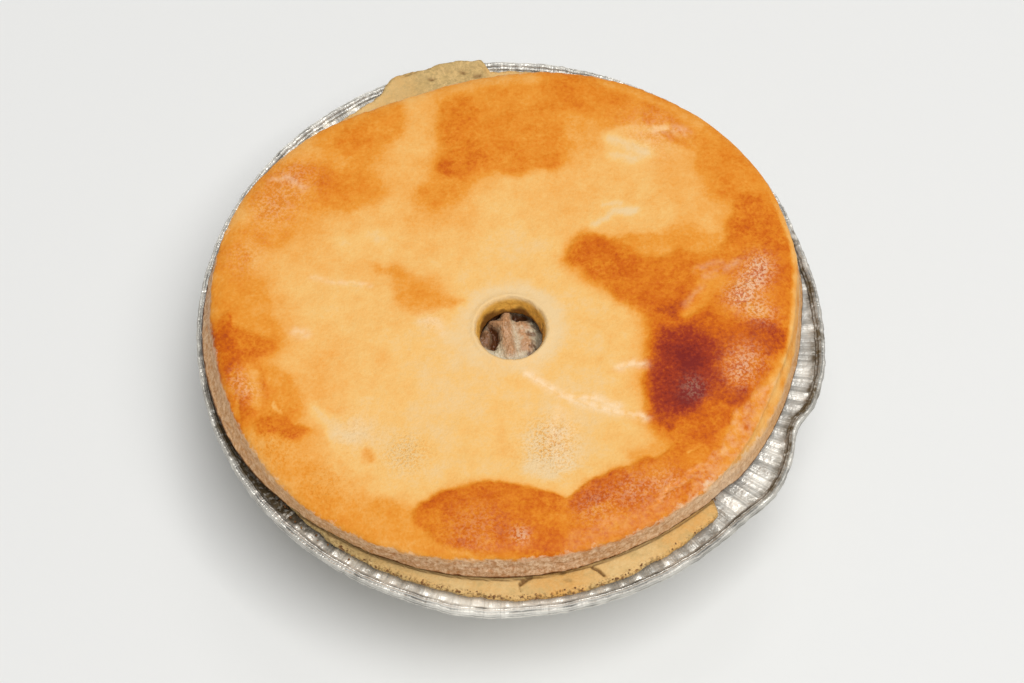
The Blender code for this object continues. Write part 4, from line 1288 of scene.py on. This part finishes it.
def filling_surface(case, filling):
    """The filling's points and masks. Rows start round the vent and widen to the case's cavity, and the top
    carries the chicken, the hollows beside it and the sauce."""
    ring_radius, ring_z, on_top = filling_rings(case)
    radius, height, angle = round_grid(ring_radius, ring_z, FILLING_COLUMNS)
    vent_share = (1.0 - smoothstep(FINE_REACH, CENTRED_REACH, radius)) * on_top
    x, y = polar(radius, angle)
    x, y = x + VENT_X * vent_share, y + VENT_Y * vent_share
    near = 1.0 - smoothstep(8.0, 11.0, np.hypot(x - VENT_X, y - VENT_Y))
    wobble = wobbled(x, y, 0.35, 1.3, (77, 81))
    sunk, meat, strands = 0 * x, 0 * x, 0 * x
    for points, half_width, depth in FILLING_HOLLOWS:
        sunk = np.maximum(sunk, depth * stroke(*wobble, points, half_width))
    for points, half_width, rise_by in CHICKEN_STRANDS:
        there = stroke(*wobble, points, half_width)
        meat = np.maximum(meat, there)
        strands = strands + rise_by * there
    lumps = 0.5 * mottle(x, y, 1.9, 83) + filling.fibre / MM * mottle(3.0 * x + y, 0.6 * y, 0.8, 89, 2)
    sunk = sunk * (1.0 - 0.8 * meat)
    height = height + on_top * (near * (strands - STRANDS_SINK + 0.6 * lumps) - sunk)
    return x, y, height, filling_masks(x, y, near, meat, sunk)


def filling_material(filling):
    """Chicken in sauce: moist pinkish meat with pale fibres, grey cream sauce, and painted shade in the
    hollows."""
    material, tree, vector = new_material("chicken_in_sauce")
    fibres = noise(stretched(vector, (3.0, 0.8, 1.0)), 1.6, 3.0)
    meat = blend(rise(fibres, 0.35, 0.7), scaled(filling.chicken, 0.72), filling.chicken)
    sauce = blend(rise(noise(vector, 0.8, 3.0), 0.35, 0.7), scaled(filling.sauce, 0.7), filling.sauce)
    colour = layered(sauce, (mask(tree, "meat"), meat), (mask(tree, "hollow"), filling.hollow_shade))
    return finish(material, {"Base Color": colour, "Roughness": 0.35}, fibres + noise(vector, 0.5, 2.0), 0.25)


class PIE_OT_make_filling(Operator):
    """Build the chicken filling that shows through the vent"""

    bl_idname = "pie.make_filling"
    bl_label = "Chicken Filling"

    def execute(self, context):
        case, filling = context.scene.pie_case, context.scene.pie_filling
        x, y, z, masks = filling_surface(case, filling)
        poles = [[(VENT_X, VENT_Y, z[0].mean())], [(0.0, 0.0, cavity_floor(case))]]
        piece = closed_piece("chicken_in_sauce", x, y, z, masks, poles)
        place_piece(piece, filling_material(filling), "chicken_filling")
        return {"FINISHED"}


# ---------------------------------------------------------------- pastry lid


LID_COLUMNS = 576
TOP_ROWS = 100
# painted shade on the vent's wall reaches up to this height, and higher in these hills
SHADE_TOP_Z = 35.5
SHADE_HILLS = ((142, 26, 1.7), (70, 17, 1.5))  # (angle round the vent, half width, how much higher)
BROWNED_SIDE = (  # (angle, half width, how much more golden): stretches of the lid's side
    (-160, 40, 0.55), (-128, 24, 0.35), (-58, 26, 0.4),
)
SIDE_CENTRE = 6.0  # the angle round which the right side of the lid is browned and its upper edge pale
PALE_RIM, WORN_AWAY = (3.0, 19.0), (-17.0, 9.0)  # (angle, half width) of stretches of the lid's edge
FRAYED_FRONT, PALE_FRONT = (-52.0, 22.0), (-46.0, 14.0)
SKIN_DOWN, SKIN_DOWN_RIGHT = 1.9, 2.4  # how far the brown skin reaches down the side, and more at the right
SKIN_SINK = 0.4  # how far the skin's middle level lies under the main form, to leave room for its relief
HALO_BROWNING, WORN_BROWNING, THIN_BROWNING = 0.05, 0.71, 0.46


def lid_rows(lid):
    """Five columns of numbers, one row of them per row of the lid: its share of the vent's centre, its
    ring's radius, its height, how far it is on the vent's wall (0, 0.5 on the lip, 1) and how far on the
    outer side (0, 0.5 on the rounding, 1). Rows run up the vent's wall, over its lip, out over the top,
    round the edge, down the side and back underneath to the vent."""
    top, rounding, throat = lid.top / MM, lid.rounding / MM, lid.vent_radius / MM
    throat_z = top - VENT_LIP_DEPTH - VENT_THROAT_DROP
    edge = LID_RADIUS - LID_SHOULDER_WIDTH * rounding
    low_corner = LID_RADIUS - LID_LOWER_ROUNDING
    side_top, side_low = top - rounding, LID_UNDER_Z + LID_LOWER_ROUNDING
    over = line(0.0, 1.0, 9)
    bend_out, bend_up = polar(1.0, line(90.0, 0.0, 12))
    tuck_out, tuck_up = polar(LID_LOWER_ROUNDING, line(0.0, -90.0, 4))
    lip_z = top - (VENT_LIP_DEPTH + VENT_THROAT_DROP) * (1.0 - over) ** 2
    parts = [
        (1.0, line(VENT_FOOT_RADIUS, throat, 10), line(LID_THIN_UNDER_Z, throat_z, 10), 1.0, 0.0),
        (1.0, throat + VENT_LIP_WIDTH * over**1.6, lip_z, 0.5, 0.0),
        (line(1.0, 0.0, TOP_ROWS), line(throat + VENT_LIP_WIDTH, edge, TOP_ROWS), top, 0.0, 0.0),
        (0.0, edge + (LID_RADIUS - edge) * bend_out, side_top + rounding * bend_up, 0.0, 0.5),
        (0.0, LID_RADIUS, line(side_top, side_low, 20), 0.0, 1.0),
        (0.0, low_corner + tuck_out, side_low + tuck_up, 0.0, 1.0),
        (0.0, np.array([low_corner, SAG_MIDDLE, SAG_START, LID_THICK_RADIUS]), LID_UNDER_Z, 0.0, 1.0),
        (line(0.0, 1.0, 6), line(LID_THIN_RADIUS, VENT_FOOT_RADIUS, 6), LID_THIN_UNDER_Z, 1.0, 0.0),
    ]
    return np.concatenate([np.stack(np.broadcast_arrays(*part)) for part in parts], axis=1)


def lid_edge(angle, height, lid):
    """The lid's outline at this height, from its lower to its upper edge. A sunk edge stays in the bead."""
    lower = around(LID_LOWER_EDGE, angle)
    sunk = smoothstep(0.0, 0.15, 1.0 - ledge_there(angle, SETTLE_LAG))
    lower = lower - sunk * np.maximum(lower - inside_bead(angle, 2 * GAP), 0.0)
    upper = around(LID_UPPER_EDGE, angle)
    share = np.clip((height - LID_UNDER_Z) / (lid.top / MM - lid.rounding / MM - LID_UNDER_Z), 0.0, 1.0)
    return pulled(lower, upper, share**LID_SIDE_BULGE)


def lid_form(radius, angle, height, lid):
    """The solid lid's main form: a plain disc stretched to its outline, swollen, worn at one edge and
    sagging where it has no ledge under it. Returns new radii and heights."""
    top, rounding = lid.top / MM, lid.rounding / MM
    under = (radius < SAG_MIDDLE + HAIR) & (height < LID_THIN_UNDER_Z + HAIR)
    out = smoothstep(LID_RADIUS - LID_FREE_WIDTH, LID_RADIUS - LID_SHOULDER_WIDTH * rounding, radius) * ~under
    moved = radius + (lid_edge(angle, height, lid) - LID_RADIUS) * out
    on_top = smoothstep(LID_THIN_UNDER_Z, top - rounding, height)
    swell = hills(*polar(moved, angle), LID_SWELLS) + LID_CROWN * (1.0 - (radius / LID_RADIUS) ** 2)
    slope = smoothstep(LID_RADIUS - CHAMFER_INNER, LID_RADIUS - CHAMFER_OUTER, radius)
    worn = bump_at(angle, CHAMFER_ANGLE, CHAMFER_HALF_WIDTH) * on_top * slope
    low = 1.0 - smoothstep(LID_UNDER_Z + GAP, top, height)
    moved = moved - CHAMFER_IN * worn
    sunk = sag(moved, 1.0 - ledge_there(angle, SETTLE_LAG)) * low
    return moved, height + swell * on_top - CHAMFER_DROP * worn - sunk


def lid_browning(x, y):
    """How brown the lid's skin is at each place, from 0, cream, to 1.25, charred: a base level with broad
    hills, and patches that each pull it to their own level inside a slightly ragged outline."""
    level = BROWNING_BASE + hills(x, y, BROWNING_HILLS)
    coarse_x, coarse_y = wobbled(x, y, 0.7, 3.5, (101, 107))
    fine_x, fine_y = wobbled(x, y, 0.25, 0.9, (103, 109), 2)
    ragged = (coarse_x + fine_x - x, coarse_y + fine_y - y)
    for points, half_width, target in BROWN_LINES:
        level = pulled(level, target, stroke(*ragged, points, half_width))
    for outline, target, soft in BROWN_PATCHES:
        level = pulled(level, target, patch(*ragged, outline, soft))
    for points, half_width, target in PALE_LINES:
        level = pulled(level, target, stroke(*ragged, points, half_width))
    return level + 0.06 * mottle(x, y, 6.0, 113) + 0.07 * mottle(x, y, 2.4, 127)


def lid_creases(x, y):
    """How deep each place is in a thin wrinkle, and how pale the skin is beside one."""
    wobble = wobbled(x, y, 0.3, 1.8, (137, 139))
    crease, pale = 0 * x, 0 * x
    for points, half_width, paleness in CREASES:
        crease = np.maximum(crease, paleness * stroke(*wobble, points, 0.7 * half_width))
        pale = np.maximum(pale, paleness * stroke(*wobble, points, 1.6 * half_width))
    return crease, pale


def thin_skin(angle, from_edge, below, ragged_line):
    """Where the brown skin is thin along the upper edge at the right: a band below the edge and a line on
    it."""
    band = 1.0 - smoothstep(46.0, 70.0, abs(turn_between(angle, SIDE_CENTRE)))
    band = band * smoothstep(0.7, 2.0, below + 0.5 * ragged_line + 0.8 * bump_at(angle, *WORN_AWAY))
    rim = np.clip(1.4 * bump_at(angle, *PALE_RIM), 0, 1)
    return np.maximum(band, rim * smoothstep(-1.7, -0.7, from_edge + 0.4 * ragged_line))


def vent_shade(x, y, height, row_z, vent_angle):
    """How dark the vent's wall is: painted shade from its foot up to a height that is greatest at the left
    and at the back, and dark specks at the right."""
    shade_top = SHADE_TOP_Z + 0.6 * cloud(x, y, height, 1.5, 223)
    for centre, half_width, higher in SHADE_HILLS:
        shade_top = shade_top + higher * bump_at(vent_angle, centre, half_width)
    specks = smoothstep(-0.1, 0.15, cloud(x, y, height, 0.6, 227, 2)) * smoothstep(38.0, 37.0, row_z)
    specks = 0.9 * specks * bump_at(vent_angle, -10.0, 50.0)
    return np.maximum(1.0 - smoothstep(shade_top - 0.6, shade_top + 0.5, row_z), specks)


def vent_halo(x, y, from_vent, vent_angle):
    """How pale the skin is in the ring round the vent, most at the back right."""
    ring = 1.0 - smoothstep(8.6, 12.5, from_vent + 0.8 * mottle(x, y, 2.5, 131))
    return ring * (0.8 + polar(0.2, vent_angle - 60.0)[0])


def worn_skin(x, y):
    """Where the brown skin has flaked off the edge: fully at the front right, and in part at the front."""
    torn = wobbled(x, y, 0.9, 2.6, (149, 151))
    return np.maximum(patch(*torn, WORN_EDGE, 0.35), 0.4 * patch(*torn, FLAKY_EDGE, 0.7))


def skin_relief(x, y, lid, browning, gloss, worn):
    """How high the skin of the top stands, from its waves, grain, raised brown patches, blisters, wrinkles
    and the hollows where it has flaked off, and how pale its wrinkles are."""
    crease, pale = lid_creases(x, y)
    waves = 0.16 * mottle(x, y, 8.0, 167) + 0.05 * mottle(x, y, 2.6, 173)
    grain = lid.grain / MM * (0.4 + browning) * mottle(x, y, 0.9, 179, 2)
    raised = 0.25 * smoothstep(0.62, 0.85, browning)
    blisters = 0.12 * gloss * mottle(x, y, 1.5, 181, 2)
    wrinkles = 0.1 * pale - 0.22 * crease
    hollows = (0.35 - 0.16 * mottle(x, y, 1.4, 233, 2)) * worn
    return waves + grain + raised + blisters + wrinkles - hollows - SKIN_SINK, pale


def side_relief(x, y, height):
    """How far the flaky layers of the side stand out, and where they are split open."""
    layers = 0.05 * cloud(0.3 * x, 0.3 * y, height, 0.8, 191) + 0.3 * cloud(x, y, 1.2 * height, 1.1, 193)
    splits = smoothstep(0.35, 0.6, cloud(0.6 * x, 0.6 * y, 1.2 * height, 0.9, 197, 2))
    return layers - 0.22 * splits, splits


def lid_surface(lid):
    """The lid's points and masks: its rows given the main form, then the relief of the skin on the top and
    of the flaky side, and a rough wall in the vent."""
    share, ring, row_z, wall, side = lid_rows(lid)[:, :, None]
    top, rounding = lid.top / MM, lid.rounding / MM
    ring_x, ring_y = polar(ring, line(-180.0, 180.0, LID_COLUMNS)[None, :])
    flat_x, flat_y = share * VENT_X + ring_x, share * VENT_Y + ring_y
    angle = np.degrees(np.arctan2(flat_y, flat_x))
    moved, height = lid_form(np.hypot(flat_x, flat_y), angle, row_z + 0 * flat_x, lid)
    x, y = polar(moved, angle)
    from_vent, from_axis = np.hypot(x - VENT_X, y - VENT_Y), np.arctan2(y - VENT_Y, x - VENT_X)
    vent_angle = np.degrees(from_axis)
    below = top - row_z + 0 * x
    on_edge, in_vent = side > 0.25, wall > 0.25
    on_side = smoothstep(0.25, 0.9, below / rounding) * on_edge

    worn = worn_skin(x, y) * (side < 0.75) * (share < 0.5)
    ragged_line = 0.7 * cloud(x, y, height, 3.0, 157) + 0.5 * cloud(x, y, height, 0.9, 163, 2)
    thin = thin_skin(angle, moved - around(LID_UPPER_EDGE, angle), below, ragged_line) * on_edge
    halo = vent_halo(x, y, from_vent, vent_angle) * (wall < 0.75)
    browning = pulled(lid_browning(x, y), HALO_BROWNING, halo)
    browning = pulled(browning, WORN_BROWNING + 0.24 * mottle(x, y, 2.2, 229), worn)
    browning = pulled(browning, THIN_BROWNING + 0.25 * cloud(x, y, height, 2.0, 239), thin)
    toasted = 1.0 - smoothstep(34.0, 52.0, abs(turn_between(angle, SIDE_CENTRE)))
    past_skin = below - SKIN_DOWN - SKIN_DOWN_RIGHT * toasted + ragged_line
    bare = smoothstep(-1.0, 1.0, past_skin / (1.4 + 0.5 * bump_at(angle, *FRAYED_FRONT))) * on_edge

    gloss = np.clip(hills(x, y, GLOSSY_SPOTS), 0.0, 1.0)
    skin, pale = skin_relief(x, y, lid, browning, gloss, worn)
    flat = np.where(on_edge, np.clip(1.0 - below / rounding, 0.0, 1.0), 1.0)
    flat = flat * (wall < 0.75) * (row_z > LID_THIN_UNDER_Z + 0.5)
    outward, splits = side_relief(x, y, height)
    outward = outward * (1.0 - 0.55 * toasted) * (row_z > LID_UNDER_Z + 0.3)
    moved = moved + (outward + 0.12 * mottle(x, y, 3.0, 199)) * on_side
    height = height + skin * flat * smoothstep(0.0, 1.2, from_vent - 7.0)
    foot = on_side * (1.0 - smoothstep(0.3, 1.6, row_z - LID_UNDER_Z))
    height = height + 0.3 * np.maximum(mottle(x, y, 2.6, 241, 2), 0.0) * foot
    rough_wall = 0.22 * cloud(x, y, height, 1.3, 211) * in_vent * (share > 0.5)
    moved_x, moved_y = polar(moved, angle)
    x, y = moved_x + rough_wall * np.cos(from_axis), moved_y + rough_wall * np.sin(from_axis)

    # painted shade low on the vent's wall, with dark specks at the right
    wall_shade = vent_shade(x, y, height, row_z, vent_angle) * in_vent
    browned_side = sum(more * bump_at(angle, centre, half_width) for centre, half_width, more in BROWNED_SIDE)
    masks = {
        "browning": browning,
        "bare": bare,
        "vent_wall": (1.0 - smoothstep(6.45, 6.85, from_vent)) * in_vent,
        "sooty": np.clip(wall_shade, 0, 1) * (share > 0.5),
        "gloss": gloss * flat,
        "pale": np.clip(pale * flat, 0, 1),
        "worn": worn,
        "splits": splits * on_side,
        # painted shade along the foot of the side
        "seam": smoothstep(top - LID_UNDER_Z - 0.75, top - LID_UNDER_Z - 0.5, below) * on_side,
        "toasted": np.clip(toasted + browned_side, 0, 1) * on_side,
        "pale_side": bump_at(angle, *PALE_FRONT) * on_side,
        "crazed": np.clip(hills(x, y, CRAZED_SPOTS), 0.0, 1.0) * flat,
    }
    return x, y, height, masks


def skin_colour(lid, vector, level, wrinkles, gloss, broken):
    """The colour of the lid's skin: a ramp from cream to charred by how brown it is, and over it the pale
    wrinkles, on the glossy blisters a painted net of pale highlights with darker dots between, and the frayed
    edge."""
    tree = vector.tree
    stops = (
        (0.04, lid.cream),
        (0.2, lid.straw),
        (0.34, lid.golden),
        (0.48, lid.amber),
        (0.6, lid.orange),
        (0.72, lid.brown),
        (0.87, lid.burnt),
        (1.0, lid.charred),
    )
    frayed = rise(noise(vector, 1.3, 4.0, 0.7), 0.4, 0.62) * 0.24 + 0.02
    return layered(
        colour_ramp(level * 0.8, stops),
        (mask(tree, "pale") * broken * 0.7, lid.sheen),
        # painted highlight: a net of pale sparkle on the glossy spots, with darker dots between
        (rise(wrinkles, 0.47, 0.57) * gloss * 0.55, lid.crumb),
        (rise(wrinkles, 0.45, 0.38) * gloss * 0.35, lid.burnt),
        (frayed * mask(tree, "worn"), lid.crumb),
    )


def side_colour(lid, vector, speckle):
    """The colour of the lid's bare side: flaky layers with brown splits, golden where it is toasted, and
    painted shade along its foot."""
    tree = vector.tree
    layer = noise(stretched(vector, (1.0, 1.0, 0.6)), 0.9, 4.0, 0.75) + speckle * 0.4
    return layered(
        blend(rise(layer, 0.34, 0.72), lid.crust, lid.crumb),
        (mask(tree, "splits") * 0.2, lid.brown),
        (mask(tree, "toasted") * 0.45, lid.golden),
        (mask(tree, "pale_side") * 0.35, lid.sheen),
        # painted shade along the foot of the side
        (mask(tree, "seam") * 0.95, lid.shade),
    )


def lid_material(lid):
    """Egg-glazed pastry: its skin runs from cream to charred with the browning mask, its side shows bare
    flaky layers with painted shade along its foot, and the vent's wall is golden with painted shade low on
    it. Glossy spots carry a thin coat and a painted net of pale highlights with darker dots, over fine
    wrinkles."""
    material, tree, vector = new_material("lid_pastry")
    browning, gloss, crazed = (mask(tree, name) for name in ("browning", "gloss", "crazed"))
    mottled = use_group(vector, mottle_group())
    wrinkles = noise(vector, 0.55, 2.0, 0.6)
    broken = rise(noise(vector, 1.6, 2.0), 0.3, 0.6)
    curled = mottled["Curls"] * browning * rise(browning, 1.0, 0.85)
    level = browning + mottled["Blotch"] * 0.17 + mottled["Speckle"] * (browning * 0.14 + 0.07)
    level = level - curled * 0.09 + rise(wrinkles, 0.5, 0.4) * crazed * 0.24
    bare = mask(tree, "bare")
    torn = (noise(vector, 1.0, 4.0, 0.7) - 0.5) * 1.8 * (bare * (1.0 - bare) * 6.0).clamped()
    bare = rise(bare + torn, 0.15, 0.85)
    colour = layered(
        skin_colour(lid, vector, level, wrinkles, gloss, broken),
        (bare, side_colour(lid, vector, mottled["Speckle"])),
        (bare * (1.0 - bare) * 1.6 * broken, lid.sheen),
        (mask(tree, "vent_wall"), lid.vent_wall),
        # painted shade low on the vent's wall
        (mask(tree, "sooty") * 0.9, lid.shade),
    )
    grain = use_group(vector, grain_group(), Pits=0.25)["Height"]
    peel = wrinkles * gloss.larger(crazed) * 2.0 + curled * 0.2
    inputs = {
        "Base Color": colour,
        "Roughness": 0.5 - gloss * 0.18,
        "Coat Weight": gloss * 0.55,
        "Specular IOR Level": 0.1,
        "Coat Roughness": 0.15,
    }
    return finish(material, inputs, grain * 0.6 + peel, 0.25)


class PIE_OT_make_lid(Operator):
    """Build the browned pastry lid with its steam vent"""

    bl_idname = "pie.make_lid"
    bl_label = "Pastry Lid"

    def execute(self, context):
        lid = context.scene.pie_lid
        piece = closed_piece("browned_lid", *lid_surface(lid), None)
        place_piece(piece, lid_material(lid), "pastry_lid")
        return {"FINISHED"}


# ---------------------------------------------------------------- stage


CAMERA_PLACE = (-4.94, -265.12, 485.09)
CAMERA_AIM = (0.5, 1.0, 20.0)
LIGHT_AIM = (0.0, 0.0, 20.0)
LIGHTS = (  # (name, place, size, the setting that gives its power): softboxes aimed at the pie
    ("key_softbox", (376.0, -448.0, 1912.0), 1250.0, "key_power"),
    ("back_softbox", (300.0, 1000.0, 1700.0), 600.0, "fill_power"),
)


def make_floor(stage):
    """A flat matt square under the pie."""
    half = stage.floor_size / 2
    mesh = bpy.data.meshes.new("floor")
    corners = [(-half, -half), (half, -half), (half, half), (-half, half)]
    mesh.from_pydata([(x, y, -HAIR * MM) for x, y in corners], [], [(0, 1, 2, 3)])
    matt = {"Base Color": stage.floor, "Roughness": 0.6, "Specular IOR Level": 0.2}
    mesh.materials.append(finish(new_material("pale_floor")[0], matt))
    link_new("floor", mesh)


def aim(obj, place, target):
    """Puts an object at a place and turns its -Z axis to the target, both in millimetres."""
    obj.location = Vector(place) * MM
    obj.rotation_euler = (Vector(target) - Vector(place)).to_track_quat("-Z", "Y").to_euler()


def make_lights(stage):
    """A wide softbox nearly overhead, a small one at the back and an even sky, which glossy rays see
    brighter."""
    for name, place, size, power in LIGHTS:
        light = bpy.data.lights.new(name, "AREA")
        light.shape = "SQUARE"
        light.size = size * MM
        light.energy = getattr(stage, power)
        box = link_new(name, light)
        box.visible_camera = False
        aim(box, place, LIGHT_AIM)
    world = bpy.data.worlds.new("studio")
    world.use_nodes = True
    tree = world.node_tree
    for_glossy = put(tree, "ShaderNodeLightPath", output="Is Glossy Ray")
    for_camera = put(tree, "ShaderNodeLightPath", output="Is Camera Ray")
    sky = layered([stage.sky] * 3, (for_glossy, [stage.mirrored] * 3), (for_camera, [stage.backdrop] * 3))
    feed(tree, tree.nodes["Background"], {"Color": sky})
    bpy.context.scene.world = world


def make_camera(stage):
    """The camera that looks down on the pie from the front."""
    lens = bpy.data.cameras.new("camera")
    lens.lens = stage.lens
    lens.sensor_width = 36.0
    lens.clip_start, lens.clip_end = 0.01, 20.0
    camera = link_new("camera", lens)
    aim(camera, CAMERA_PLACE, CAMERA_AIM)
    bpy.context.scene.camera = camera


class PIE_OT_make_stage(Operator):
    """Build the floor, the soft lights and the camera"""

    bl_idname = "pie.make_stage"
    bl_label = "Stage"

    def execute(self, context):
        stage = context.scene.pie_stage
        make_floor(stage)
        make_lights(stage)
        make_camera(stage)
        context.scene.view_settings.view_transform = "Standard"
        return {"FINISHED"}


# ---------------------------------------------------------------- panel and registration


PIECES = (
    PIE_OT_make_tin,
    PIE_OT_make_case,
    PIE_OT_make_crumbs,
    PIE_OT_make_filling,
    PIE_OT_make_lid,
    PIE_OT_make_stage,
)
SETTINGS = {
    "pie_tin": PieTinSettings,
    "pie_case": PieCaseSettings,
    "pie_filling": PieFillingSettings,
    "pie_lid": PieLidSettings,
    "pie_stage": PieStageSettings,
}


class PIE_PT_panel(Panel):
    """Lists the pie's settings and the buttons that build its pieces"""

    bl_idname = "PIE_PT_panel"
    bl_label = "Chicken Pie"
    bl_space_type = "VIEW_3D"
    bl_region_type = "UI"
    bl_category = "Pie"

    def draw(self, context):
        for name in SETTINGS:
            box = self.layout.box()
            settings = getattr(context.scene, name)
            for field in settings.__annotations__:
                box.prop(settings, field)
        for piece in PIECES:
            self.layout.operator(piece.bl_idname)


def register():
    for cls in (*SETTINGS.values(), *PIECES, PIE_PT_panel):
        bpy.utils.register_class(cls)
    for name, cls in SETTINGS.items():
        setattr(bpy.types.Scene, name, PointerProperty(type=cls))


def unregister():
    for name in SETTINGS:
        delattr(bpy.types.Scene, name)
    for cls in reversed((*SETTINGS.values(), *PIECES, PIE_PT_panel)):
        bpy.utils.unregister_class(cls)


def main():
    """Builds every piece and the stage."""
    register()
    bpy.ops.pie.make_tin()
    bpy.ops.pie.make_case()
    bpy.ops.pie.make_crumbs()
    bpy.ops.pie.make_filling()
    bpy.ops.pie.make_lid()
    bpy.ops.pie.make_stage()


if __name__ == "__main__":
    main()
